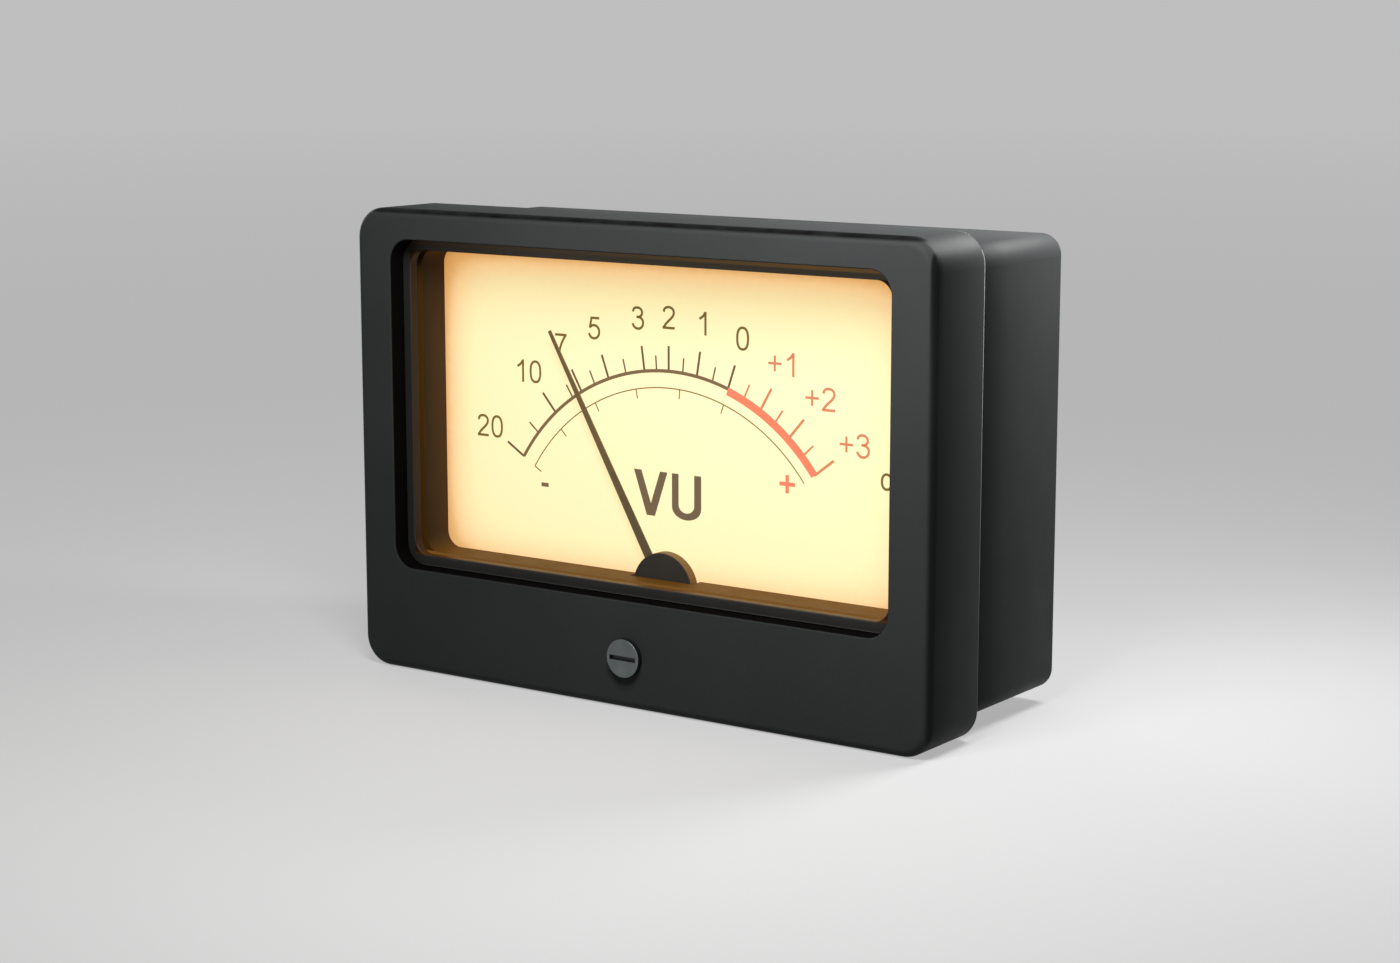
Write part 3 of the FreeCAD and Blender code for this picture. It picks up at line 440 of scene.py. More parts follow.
def crown(finish):
    """The normal of slightly bulged mouldings, with a top that also leans to the front."""
    flat = finish.normal()
    faces = finish.parts(flat)
    behind = finish.above(finish.depth, STEP_DEPTH)
    bezel = finish.fade(finish.depth, CASE_FRONT, STEP_DEPTH, -BEZEL_CROWN, BEZEL_CROWN)
    bezel = finish.times(bezel, finish.maths("SUBTRACT", 1.0, behind))
    housing = finish.fade(finish.depth, STEP_DEPTH, CASE_REAR, -HOUSING_CROWN, HOUSING_CROWN)
    along = finish.maths("ADD", bezel, finish.times(housing, behind))
    upward = finish.maths("MAXIMUM", faces[2], 0.0)
    lean = finish.times(upward, finish.fade(finish.across, -CASE_HALF, CASE_HALF, *TOP_LEAN))
    tilts = (
        finish.fade(finish.across, -CASE_HALF, CASE_HALF, -FACE_CROWN, FACE_CROWN),
        finish.maths("ADD", along, lean),
        finish.fade(finish.height, 0.0, CASE_HIGH, -FACE_CROWN, FACE_CROWN),
    )
    terms = []
    for tilt, face in zip(tilts, faces):
        turned_away = finish.maths("SUBTRACT", 1.0, finish.maths("ABSOLUTE", face))
        terms.append(finish.times(tilt, turned_away))
    bulge = finish.add("ShaderNodeCombineXYZ", enumerate(terms)).outputs[0]
    total = finish.add("ShaderNodeVectorMath", {0: flat, 1: bulge}, operation="ADD").outputs[0]
    return finish.add("ShaderNodeVectorMath", {0: total}, operation="NORMALIZE").outputs[0]


def painted_rim_shade(finish, wide, high):
    """Up to 1 along the rounded rim of the case's front, towards its top: a painted shade."""
    outer = finish.maths("MAXIMUM", finish.fade(wide, *RIM_WIDE), finish.fade(high, *RIM_HIGH))
    front = finish.fade(finish.depth, *RIM_DEPTH)
    return finish.times(front, finish.fade(finish.height, *RIM_RISE), outer, finish.patches(260.0, start=0.8))


def worn_and_highlit_edges(finish):
    """Up to 0.7 along the case's sharp edges, except at its very front: wear, which is also a painted
    highlight.
    """
    wear = finish.times(finish.edges(0.25), finish.patches(500.0, 3.0, 0.35, 0.65, 0.1, 0.7))
    return finish.times(wear, finish.above(finish.depth, WEAR_AND_HIGHLIGHT_FRONT))


def painted_side_shades(finish):
    """The two painted shades on the case's right side: on the bezel and on the housing, each weaker to the
    rear.
    """
    bezel = finish.times(finish.fade(finish.across, *SIDE_WIDE),
                         finish.fade(finish.depth, SHADE_START, STEP_DEPTH, BEZEL_SHADE, 0.0))
    behind = finish.times(finish.above(finish.depth, STEP_DEPTH + STEP_SLACK),
                          finish.fade(finish.depth, STEP_DEPTH + SHADE_LENGTH, STEP_DEPTH))
    rightward = finish.parts(finish.normal())[0]
    return bezel, finish.times(behind, finish.span(rightward, *SIDE_TURNED, *HOUSING_SHADE))


def rear_edge_highlight(finish, wide, high):
    """A painted highlight along the bezel's rear edge, weaker towards its foot."""
    outer = finish.maths("MAXIMUM", finish.above(wide, LINE_WIDE), finish.above(high, LINE_HIGH))
    return finish.times(finish.within(finish.depth, *LINE_DEPTHS), outer,
                        finish.fade(finish.height, *LINE_RISE, 0.2, 1.0))


def shaded_opening_walls(finish, wide):
    """1 on the walls of the window opening, behind their front edge, which are painted black for their shade.
    """
    return finish.times(finish.under(wide, OPENING_HALF), finish.within(finish.height, *OPENING_HEIGHTS),
                        finish.under(finish.depth, OPENING_REAR),
                        finish.fade(finish.depth, *OPENING_BLACK_FROM))


def case_plastic():
    """Dark satin moulding with a spark-eroded grain: lighter on its sharp edges with wear that is also a
    painted highlight, with painted shade along its front rim and behind the front and the step on its right,
    a painted highlight on the bezel's rear edge, and its window's walls painted black for their shade."""
    finish = Finish("case_black", Specular_IOR_Level=0.03)
    wide = finish.maths("ABSOLUTE", finish.across)
    high = finish.maths("ABSOLUTE", finish.maths("SUBTRACT", finish.height, CASE_MIDDLE * MM))
    rim_shade = painted_rim_shade(finish, wide, high)
    bezel_shade, housing_shade = painted_side_shades(finish)
    walls = shaded_opening_walls(finish, wide)
    paint = finish.mix(finish.patches(45.0, 5.0, 0.35, 0.65), tint(56, 58, 58), tint(52, 54, 54))
    # Painted over the grain specks: shade on the front rim, wear that is also a highlight on the edges, shade
    # on the right side, a highlight on the bezel's rear edge, and black for the shade in the window.
    paint = finish.marked(
        paint,
        (finish.times(finish.patches(2600.0, 2.0), 0.35), (58, 59, 59)),
        (rim_shade, RIM_SHADE_BLACK),
        (worn_and_highlit_edges(finish), WEAR_AND_HIGHLIGHT_GREY),
        (bezel_shade, PAINTED_SHADE_GREY),
        (housing_shade, PAINTED_SHADE_GREY),
        (rear_edge_highlight(finish, wide, high), HIGHLIGHT_GREY),
        (walls, OPENING_SHADE_BLACK),
    )
    gloss = finish.patches(150.0, 4.0, start=0.44, end=0.52)
    gloss = finish.maths("SUBTRACT", gloss, finish.times(rim_shade, 0.08))
    swell = finish.bump(finish.noise(90.0, 2.0), 0.003, crown(finish))
    return finish.feed(
        Base_Color=paint,
        Roughness=finish.maths("MAXIMUM", gloss, walls),
        Normal=finish.bump(finish.noise(4200.0, 2.0), 0.012, swell),
    )


def ramp(finish, share, stops):
    """The colour of a share from 0 to 1, by its stops."""
    node = finish.add("ShaderNodeValToRGB", {0: share})
    points = node.color_ramp.elements
    points[0].position, points[0].color = stops[0]
    points[1].position, points[1].color = stops[-1]
    for place, colour in stops[1:-1]:
        points.new(place).color = colour
    return node.outputs[0]


def glow_and_wall_shade(finish):
    """How strongly the backlight comes through the dial: full in the middle, weaker near the four edges,
    which paints the shade of the tunnel's walls.
    """
    sides = (
        (finish.maths("ADD", finish.across, TUNNEL_HALF * MM), LOSS_LEFT),
        (finish.maths("SUBTRACT", TUNNEL_HALF * MM, finish.across), LOSS_RIGHT),
        (finish.maths("SUBTRACT", finish.height, TUNNEL_LOW * MM), LOSS_LOW),
        (finish.maths("SUBTRACT", TUNNEL_HIGH * MM, finish.height), LOSS_HIGH),
    )
    share = 1.0
    for distance, loss in sides:
        falloff = finish.maths("EXPONENT", finish.maths("DIVIDE", distance, -LOSS_REACH * MM))
        share = finish.times(share, finish.maths("SUBTRACT", 1.0, finish.times(falloff, loss)))
    return share


def dial_paint():
    """Cream translucent dial: warm light from behind, and its own cream under the light from in front, both
    darker near the edges as a painted shade of the tunnel's walls.
    """
    finish = Finish("dial_cream", Roughness=0.6, Specular_IOR_Level=0.3)
    fibres = finish.patches(900.0, 4.0, start=-0.012, end=0.012)
    share = finish.maths("ADD", glow_and_wall_shade(finish), fibres)
    return finish.feed(
        Base_Color=finish.mix(share, BLACK, DIAL_CREAM),
        Emission_Color=ramp(finish, share, GLOW),
        Emission_Strength=1.0,
        Normal=finish.bump(finish.noise(2400.0, 2.0), 0.003),
    )


def ink(name, colour, lit):
    """Printing ink that lets a share of the backlight through, a little uneven in its cover."""
    finish = Finish(name, Roughness=0.55, Specular_IOR_Level=0.3)
    cover = finish.patches(1400.0)
    return finish.feed(
        Base_Color=finish.mix(cover, tint(*colour, gain=0.30), tint(*colour, gain=0.36)),
        Emission_Color=finish.mix(cover, tint(*colour), tint(*colour, gain=0.94)),
        Emission_Strength=lit,
        Normal=finish.bump(finish.noise(3000.0, 2.0), 0.002),
    )


def tunnel_wall(finish):
    """1 on the walls of the tunnel between the window and the dial."""
    wide = finish.maths("ABSOLUTE", finish.across)
    return finish.times(finish.under(wide, TUNNEL_HALF + TUNNEL_SLACK),
                        finish.within(finish.height, TUNNEL_LOW - TUNNEL_SLACK, TUNNEL_HIGH + TUNNEL_SLACK))


def shroud_paint():
    """Brown moulding round the dial, with painted light and shade: darker on its sides and towards the window
    as painted shade, lighter on its floor as painted light, and with a painted glow on the front edge of its
    floor."""
    finish = Finish("shroud_brown", Specular_IOR_Level=0.1)
    drift = finish.patches(70.0, 4.0, 0.32, 0.68)
    lit_floor_paint = finish.mix(drift, tint(98, 63, 8), tint(92, 59, 7))
    inner_paint = finish.mix(drift, tint(71, 49, 18), tint(67, 46, 16))
    shaded_wall_paint = finish.mix(finish.fade(finish.depth, *WALL_LIGHTENS), tint(41, 25, 4), inner_paint)
    sideways = finish.maths("ABSOLUTE", finish.parts(finish.normal())[0])
    raised = finish.fade(finish.height, TUNNEL_LOW + 0.1, TUNNEL_LOW + 0.6, 0.0, 0.3)
    floor_front_glow = finish.times(finish.under(finish.depth, TUNNEL_FRONT),
                               finish.under(finish.height, TUNNEL_LOW + 0.1))
    return finish.feed(
        Base_Color=finish.mix(finish.maths("MAXIMUM", sideways, raised), lit_floor_paint, shaded_wall_paint),
        Roughness=finish.patches(210.0, start=0.5, end=0.6),
        Normal=finish.bump(finish.noise(3600.0, 2.0), 0.004),
        # A painted glow of the dial's light along the front edge of the floor.
        Emission_Color=tint(99, 68, 36),
        Emission_Strength=floor_front_glow,
    )


def frame_paint():
    """Dark satin frame with painted highlights on its edges, brown like the shroud on the walls of its
    window, which are painted lighter at their foot as lit, and with painted light and the dial's painted glow
    along its top bar, which fade to the left under a painted shade."""
    # Its lighter edges are a painted highlight.
    finish = surface("frame_grey", (41, 40, 39), (37, 36, 35), (0.40, 0.48), 80.0, 4200.0, 0.008,
                     wear=(66, 66, 64), Specular_IOR_Level=0.2)
    across, height = finish.across, finish.height
    shade = finish.times(finish.fade(across, *BAR_SHADE_WIDE, 0.0, BAR_SHADE),
                         finish.fade(height, *BAR_SHADE_RISE))
    # Painted light in two steps up the top bar, a painted highlight on the lower edge, and painted shade on
    # the bar's left.
    paint = finish.marked(
        finish.shader.inputs["Base Color"].links[0].from_socket,
        (finish.fade(height, *BAR_LOW), (60, 56, 48)),
        (finish.fade(height, *BAR_HIGH), (98, 73, 42)),
        (finish.times(finish.fade(height, *FRAME_LOW_EDGE_HIGHLIGHT), 0.8), (72, 72, 70)),
        (shade, (10, 10, 10)),
    )
    walls = finish.mix(finish.fade(height, *FRAME_WALLS), tint(72, 42, 0), tint(34, 13, 0))
    # The painted glow of the dial's light along the top bar, which fades to the left.
    low_spill = finish.times(finish.fade(height, *LOW_SPILL_RISE), finish.fade(across, *LOW_SPILL_WIDE))
    high_spill = finish.times(finish.fade(height, *HIGH_SPILL_RISE),
                              finish.maths("POWER", finish.fade(across, *HIGH_SPILL_WIDE), 1.5))
    return finish.feed(
        Base_Color=finish.mix(tunnel_wall(finish), paint, walls),
        Emission_Color=finish.marked(BLACK, (low_spill, (43, 38, 30)), (high_spill, (79, 59, 32))),
        Emission_Strength=1.0,
    )


def board_paint():
    """Green solder mask over copper tracks on a glass-fibre board."""
    finish = Finish("board_green", Specular_IOR_Level=0.5)
    across = finish.wave(90.0, 2.2, bands_direction="X")
    upright = finish.wave(70.0, 1.8, bands_direction="Z")
    tracks = finish.maths("MAXIMUM", finish.span(across, 0.80, 0.86), finish.span(upright, 0.84, 0.9))
    weave = finish.noise(1800.0, 2.0)
    mask = finish.mix(finish.spread(weave), tint(22, 78, 48), tint(27, 88, 54))
    return finish.feed(
        Base_Color=finish.marked(mask, (tracks, (44, 118, 70))),
        Roughness=finish.spread(weave, 0.28, 0.38),
        Normal=finish.bump(tracks, 0.03, finish.bump(weave, 0.006)),
    )


def banded(name, body, bands, middles, rough):
    """Paint with coloured bands round parts that lie across, each centred on one of the middles."""
    finish = Finish(name)
    grains = finish.noise(1500.0)
    paint = finish.mix(finish.spread(grains), tint(*body), tint(*body, gain=0.86))
    for middle in middles:
        for offset, colour in bands:
            far = finish.maths("ABSOLUTE", finish.maths("SUBTRACT", finish.across, (middle + offset) * MM))
            paint = finish.marked(paint, (finish.under(far, BAND_WIDTH / 2), colour))
    gloss = finish.spread(grains, *rough)
    return finish.feed(Base_Color=paint, Roughness=gloss, Normal=finish.bump(grains, 0.01))


def wound_copper():
    """Enamelled copper turns laid side by side round the former, painted darker between the turns as shade in
    the grooves.
    """
    finish = Finish("copper_wire", Metallic=1.0)
    turns = finish.wave(1500.0, 0.15, bands_direction="Z")
    drift = finish.noise(300.0)
    # Painted shade between the turns: the paint is darker where the turns' relief is low.
    bright = finish.times(turns, finish.span(drift, 0.2, 0.8, 0.6, 1.0))
    return finish.feed(
        Base_Color=finish.mix(bright, tint(120, 58, 34), tint(206, 122, 80)),
        Roughness=finish.spread(drift, 0.24, 0.36),
        Normal=finish.bump(turns, 0.06),
    )


def turned_nickel():
    """Satin plated screw, faced on a lathe: fine rings round its axis, painted shade on its side, and a dark
    slot.
    """
    finish = Finish("adjuster_nickel")
    to_axis = {"Vector": finish.place, "Location": (0.0, 0.0, -ADJUSTER_HEIGHT * MM)}
    offset = finish.add("ShaderNodeMapping", to_axis).outputs[0]
    rings = finish.wave(900.0, 1.2, offset, wave_type="RINGS", rings_direction="Y")
    drift = finish.noise(420.0, 4.0)
    forward = finish.maths("ABSOLUTE", finish.parts(finish.normal())[1])
    level = finish.maths("SUBTRACT", finish.height, ADJUSTER_HEIGHT * MM)
    slot = finish.times(finish.within(level, -SLOT_HALF_WIDTH, SLOT_HALF_WIDTH),
                        finish.within(finish.across, -SLOT_HALF_LENGTH, SLOT_HALF_LENGTH),
                        finish.fade(finish.depth, *SLOT_DEPTHS))
    paint = finish.marked(
        finish.mix(finish.spread(drift), tint(108, 114, 114), tint(97, 103, 103)),
        (finish.times(finish.edges(0.12), 0.15), (140, 146, 146)),
        # Painted shade on the side, which faces away from the front.
        (finish.span(forward, 0.8, 0.5), (38, 44, 44)),
        (slot, (30, 33, 34)),
    )
    return finish.feed(
        Base_Color=paint,
        Metallic=finish.span(slot, 0.0, 1.0, 0.75, 0.0),
        Roughness=finish.spread(drift, 0.36, 0.46),
        Normal=finish.bump(rings, 0.004),
    )


def from_pivot(finish):
    """Distance from the axis that the pointer turns about."""
    height = finish.maths("SUBTRACT", finish.height, PIVOT_HEIGHT * MM)
    squares = finish.maths("ADD", finish.times(finish.across, finish.across), finish.times(height, height))
    return finish.maths("SQRT", squares)


def needle_paint():
    """Dark lacquered needle, painted lighter towards its thin end as the glow of the dial that shines round
    it.
    """
    finish = Finish("pointer_dark", Specular_IOR_Level=0.3)
    drift = finish.patches(300.0, 4.0, 0.32, 0.68)
    root, tip = (finish.mix(drift, tint(*colour), tint(*shade)) for colour, shade in NEEDLE_TONES)
    return finish.feed(
        Base_Color=finish.mix(finish.fade(from_pivot(finish), *NEEDLE_LIGHTENS), root, tip),
        Roughness=finish.patches(900.0, start=0.45, end=0.55),
        Normal=finish.bump(finish.noise(3000.0, 2.0), 0.004),
    )


def hub_paint():
    """Dark moulded hub, with a painted brown glow of the dial's light round its rim."""
    finish = Finish("hub_dark", Specular_IOR_Level=0.3)
    grains = finish.noise(3200.0, 2.0)
    front = finish.mix(finish.patches(180.0, 4.0), tint(51, 47, 40), tint(46, 43, 37))
    return finish.feed(
        Base_Color=finish.marked(front, (finish.fade(from_pivot(finish), *HUB_RIM), (110, 79, 34))),
        Roughness=finish.spread(grains, 0.48, 0.56),
        Normal=finish.bump(grains, 0.008),
    )


def clear_sheet(name, colour, alpha, rough):
    """Clear sheet that dims what is behind it a little, with faint smears in its gloss."""
    finish = Finish(name, Alpha=alpha)
    smears = finish.noise(60.0, 5.0)
    return finish.feed(
        Base_Color=finish.mix(smears, tint(*colour), tint(*colour, gain=0.9)),
        Roughness=finish.span(smears, 0.35, 0.65, *rough),
        Normal=finish.bump(finish.noise(25.0, 1.0), 0.004),
    )


def lamp_paint():
    """Small light chips: warm lit face in a cream body."""
    finish = Finish("lamp_warm", Roughness=0.35)
    spots = finish.patches(1200.0, 2.0)
    return finish.feed(
        Base_Color=finish.mix(spots, tint(250, 240, 205), tint(244, 228, 180)),
        Emission_Color=finish.mix(spots, tint(255, 224, 160), tint(255, 214, 140)),
        Emission_Strength=1.0,
        Normal=finish.bump(spots, 0.01),
    )


# Grain that is drawn out upward, and grain drawn out from front to rear.
UPWARD = (1.0, 1.0, 0.06)
INWARD = (1.0, 0.12, 1.0)

# Plain finishes: name, colour, shade, range of roughness, patches and grains per metre, size of the grain
# in millimetres, then the rest.
PLAIN = (
    ("seal_rubber", (24, 24, 24), (19, 19, 19), (0.70, 0.85), 200.0, 2500.0, 0.02, {}),
    ("diffuser_white", (236, 233, 222), (228, 224, 212), (0.5, 0.6), 90.0, 1800.0, 0.006, {}),
    ("reflector_white", (240, 240, 236), (232, 232, 228), (0.35, 0.5), 90.0, 1800.0, 0.004, {}),
    ("chassis_aluminium", (196, 198, 200), (176, 178, 181), (0.30, 0.45), 60.0, 1600.0, 0.006,
     {"stretch": UPWARD, "wear": (224, 226, 228), "Metallic": 1.0}),
    ("former_aluminium", (205, 207, 209), (186, 188, 191), (0.25, 0.38), 200.0, 2600.0, 0.004,
     {"stretch": UPWARD, "wear": (228, 230, 232), "Metallic": 1.0}),
    ("movement_brass", (196, 158, 84), (172, 134, 66), (0.26, 0.40), 160.0, 2400.0, 0.005,
     {"stretch": UPWARD, "wear": (222, 190, 118), "Metallic": 1.0}),
    ("lever_brass", (190, 150, 78), (166, 128, 62), (0.28, 0.42), 180.0, 2600.0, 0.005,
     {"stretch": UPWARD, "wear": (220, 188, 116), "Metallic": 1.0}),
    ("terminal_brass", (200, 162, 88), (172, 132, 64), (0.24, 0.38), 220.0, 2400.0, 0.006,
     {"stretch": INWARD, "wear": (228, 198, 128), "Metallic": 1.0}),
    ("tinned_brass", (190, 192, 190), (168, 170, 170), (0.28, 0.44), 240.0, 2200.0, 0.008,
     {"wear": (206, 186, 140), "Metallic": 1.0}),
    ("zinc_steel", (178, 184, 190), (154, 160, 168), (0.26, 0.42), 260.0, 2600.0, 0.008,
     {"wear": (208, 212, 216), "Metallic": 1.0}),
    ("soft_iron", (120, 120, 122), (98, 97, 98), (0.38, 0.52), 200.0, 2000.0, 0.012,
     {"wear": (156, 156, 158), "Metallic": 1.0}),
    ("magnet_grey", (96, 95, 94), (78, 76, 75), (0.45, 0.6), 260.0, 1800.0, 0.03,
     {"wear": (128, 127, 126), "Metallic": 0.8}),
    ("spring_bronze", (186, 126, 72), (160, 104, 56), (0.26, 0.38), 300.0, 2600.0, 0.003, {"Metallic": 1.0}),
    ("jewel_red", (150, 14, 34), (120, 8, 26), (0.08, 0.14), 400.0, 2600.0, 0.001, {"Coat_Weight": 0.5}),
    ("wire_red", (168, 30, 26), (150, 24, 22), (0.34, 0.46), 150.0, 1500.0, 0.01, {}),
    ("wire_blue", (32, 60, 140), (26, 50, 122), (0.34, 0.46), 150.0, 1500.0, 0.01, {}),
    ("wire_yellow", (206, 170, 40), (188, 152, 32), (0.34, 0.46), 150.0, 1500.0, 0.01, {}),
)


def all_finishes():
    """The material of every finish by its name."""
    made = [surface(*looks, **more) for *looks, more in PLAIN]
    made += [paint() for paint in (
        case_plastic, shroud_paint, frame_paint, hub_paint, needle_paint, dial_paint, board_paint,
        wound_copper, turned_nickel, lamp_paint,
    )]
    made += [
        clear_sheet("window_clear", (60, 62, 62), 0.05, (0.03, 0.06)),
        clear_sheet("guide_clear", (230, 236, 236), 0.35, (0.05, 0.1)),
        banded("resistor_blue", (84, 140, 178), RESISTOR_BANDS, RESISTOR_MIDDLES, (0.3, 0.4)),
        banded("diode_black", (30, 30, 32), DIODE_BANDS, DIODE_MIDDLES, (0.35, 0.5)),
    ]
    return {finish.name: finish.material for finish in made}


def dress_nodes(finishes):
    """Gives every CAD node the finish of its own slot."""
    for node in frame["nodes"].values():
        for place in node.material_slots:
            place.material = finishes[place.material.name.split(".")[0]]


# ---- printing ----


def ribbon(points, width, closed=False):
    """The left and right edges of a stroke of that width along the points."""
    count = len(points)
    lefts, rights = [], []
    for place, point in enumerate(points):
        before = points[place - 1] if closed or place else point
        after = points[(place + 1) % count] if closed or place < count - 1 else point
        legs = [leg for leg in (point - before, after - point) if leg.length]
        sides = [Vector((-leg.y, leg.x)).normalized() for leg in legs]
        side = sum(sides, Vector((0.0, 0.0))).normalized()
        reach = width / 2 / max(side.dot(sides[0]), MITRE_LIMIT)
        lefts.append(point + side * reach)
        rights.append(point - side * reach)
    return lefts, rights, closed


def bar(start, end, width):
    """A straight stroke."""
    return ribbon([Vector(start), Vector(end)], width)


def curve(points, steps=6):
    """A smooth line through the points."""
    points = [Vector(point) for point in points]
    line = []
    for place in range(len(points) - 1):
        before = points[max(place - 1, 0)]
        first, second = points[place], points[place + 1]
        after = points[min(place + 2, len(points) - 1)]
        for step in range(steps):
            t = step / steps
            line.append(0.5 * (2 * first + (second - before) * t
                               + (2 * before - 5 * first + 4 * second - after) * t ** 2
                               + (3 * first - before - 3 * second + after) * t ** 3))
    return line + [points[-1]]


def oval(middle, wide, high, power=2.0, steps=40):
    """An oval of those half sizes, squarer where its power is above 2."""
    line = []
    for step in range(steps):
        turn = 2 * math.pi * step / steps
        across, up = math.cos(turn), math.sin(turn)
        line.append(Vector((middle[0] + math.copysign(abs(across) ** (2 / power), across) * wide,
                            middle[1] + math.copysign(abs(up) ** (2 / power), up) * high)))
    return line


def around(reach, angle):
    """The place at that distance from the pivot and that angle from upright."""
    return Vector((reach * math.sin(angle), PIVOT_HEIGHT + reach * math.cos(angle)))


def arc(radius, start, end, width):
    """A curved stroke round the pivot, from one angle to another."""
    steps = max(2, round(abs(end - start) / ARC_STEP))
    angles = [math.radians(start + (end - start) * step / steps) for step in range(steps + 1)]
    outer = [around(radius + width / 2, angle) for angle in angles]
    inner = [around(radius - width / 2, angle) for angle in angles]
    return outer, inner, False


def tick(angle, start, end, width):
    """A straight stroke outward from the pivot, from one radius to another."""
    turn = math.radians(angle)
    return bar(around(start, turn), around(end, turn), width)


# Middle lines of the letters' strokes, in shares of the cap height.
TWO = (
    (0.085, 0.735), (0.125, 0.86), (0.235, 0.93), (0.345, 0.945), (0.47, 0.92), (0.575, 0.84),
    (0.61, 0.715), (0.575, 0.60), (0.47, 0.475), (0.30, 0.325), (0.165, 0.19), (0.09, 0.085),
)
THREE_TOP = (
    (0.07, 0.765), (0.12, 0.885), (0.225, 0.94), (0.325, 0.945), (0.45, 0.915), (0.545, 0.81),
    (0.545, 0.68), (0.455, 0.575), (0.34, 0.545), (0.26, 0.545),
)
THREE_BASE = (
    (0.26, 0.545), (0.37, 0.54), (0.50, 0.50), (0.59, 0.40), (0.605, 0.27), (0.56, 0.15), (0.46, 0.07),
    (0.33, 0.045), (0.20, 0.075), (0.10, 0.16), (0.06, 0.265),
)
FIVE_BOWL = (
    (0.10, 0.505), (0.20, 0.59), (0.33, 0.615), (0.46, 0.585), (0.565, 0.49), (0.605, 0.34),
    (0.575, 0.20), (0.48, 0.09), (0.33, 0.045), (0.19, 0.075), (0.10, 0.16), (0.06, 0.265),
)
SEVEN = ((0.60, 0.91), (0.49, 0.75), (0.385, 0.555), (0.31, 0.36), (0.265, 0.17), (0.25, 0.0))
ONE_FLAG = ((0.43, 0.96), (0.36, 0.85), (0.27, 0.765), (0.135, 0.69))
HOOK = ((0.61, 0.93), (0.19, 0.93), (0.105, 0.49))
B_TOP = (
    (0.10, 0.94), (0.38, 0.94), (0.53, 0.90), (0.595, 0.80), (0.58, 0.67), (0.49, 0.57), (0.36, 0.535),
    (0.10, 0.535),
)
B_BASE = (
    (0.10, 0.535), (0.42, 0.535), (0.59, 0.485), (0.68, 0.385), (0.69, 0.26), (0.63, 0.13),
    (0.51, 0.07), (0.38, 0.06), (0.10, 0.06),
)


def glyphs():
    """The strokes of each letter, in shares of the cap height from its outer left and baseline."""
    return {
        "0": [ribbon(oval((0.33, 0.5), 0.272, 0.453, 2.4), STROKE, True)],
        "1": [bar((0.446, 0.0), (0.446, 1.0), STROKE), ribbon(curve(ONE_FLAG), STROKE)],
        "2": [ribbon(curve(TWO), STROKE), bar((0.02, 0.06), (0.655, 0.06), STROKE)],
        "3": [ribbon(curve(THREE_TOP), STROKE), ribbon(curve(THREE_BASE), STROKE)],
        "5": [ribbon([Vector(point) for point in HOOK], STROKE), ribbon(curve(FIVE_BOWL), STROKE)],
        "7": [bar((0.03, 0.935), (0.665, 0.935), STROKE), ribbon(curve(SEVEN), STROKE)],
        "d": [ribbon(oval((0.29, 0.355), 0.23, 0.31, 2.2), STROKE, True),
              bar((0.56, 0.0), (0.56, 1.0), STROKE)],
        "B": [bar((0.06, 0.0), (0.06, 1.0), STROKE), ribbon(curve(B_TOP), STROKE),
              ribbon(curve(B_BASE), STROKE)],
        "+": plus_sign((-PLUS_LEAD + ADVANCE, PLUS_RISE), PLUS_SIZE, PLUS_STROKE),
    }


def plus_sign(middle, size, stroke):
    """An upright bar, and a bar on each side that ends at it."""
    x, z = middle
    half, side = size / 2, stroke / 2
    return [bar((x, z - half), (x, z + half), stroke), bar((x - half, z), (x - side, z), stroke),
            bar((x + side, z), (x + half, z), stroke)]


def placed(strokes, left, base, size):
    """The strokes of a letter of that size, set on its place."""
    corner = Vector((left, base))
    return [([corner + point * size for point in lefts], [corner + point * size for point in rights], closed)
            for lefts, rights, closed in strokes]


def words(texts):
    """The strokes of several words, each placed by its first digit. A plus stands in front of that."""
    letters = glyphs()
    strokes = []
    for text, left, base in texts:
        start = left - (ADVANCE * CAP if text[0] == "+" else 0.0)
        for place, letter in enumerate(text):
            strokes += placed(letters[letter], start + place * ADVANCE * CAP, base, CAP)
    return strokes


def add_strip(mesh, lefts, rights, closed, front, back):
    """One closed slab between two edges, from depth front to depth back."""
    rows = []
    for left, right in zip(lefts, rights):
        corners = ((left, front), (right, front), (right, back), (left, back))
        rows.append([mesh.verts.new((point.x * MM, depth, point.y * MM)) for point, depth in corners])
    pairs = list(zip(rows, rows[1:])) + ([(rows[-1], rows[0])] if closed else [])
    for row, after in pairs:
        for corner in range(4):
            following = (corner + 1) % 4
            mesh.faces.new((row[corner], row[following], after[following], after[corner]))
    if not closed:
        mesh.faces.new(rows[0])
        mesh.faces.new(rows[-1])


def put(name, data):
    """A new object in the scene."""
    made = bpy.data.objects.new(name, data)
    bpy.context.scene.collection.objects.link(made)
    return made


def put_mesh(name, mesh, material):
    data = bpy.data.meshes.new(name)
    mesh.to_mesh(data)
    mesh.free()
    data.materials.append(material)
    return put(name, data)


def new_piece(name, mesh, material, body="case"):
    """A piece of the object from that mesh, which moves with the body."""
    bmesh.ops.remove_doubles(mesh, verts=mesh.verts, dist=WELD)
    bmesh.ops.recalc_face_normals(mesh, faces=mesh.faces)
    piece = put_mesh(name, mesh, material)
    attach(piece, body)
    return piece


def print_piece(name, strokes, material, lift=PRINT_LIFT):
    """Printed marks just proud of the dial's front face."""
    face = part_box("dial_plate")[0][1]
    mesh = bmesh.new()
    for lefts, rights, closed in strokes:
        add_strip(mesh, lefts, rights, closed, face - lift * MM, face + PRINT_SINK * MM)
    return new_piece(name, mesh, material)


def ticks(groups, start):
    """Ticks from one radius, in groups of the same end and width."""
    return [tick(angle, start, end, width) for angles, end, width in groups for angle in angles]


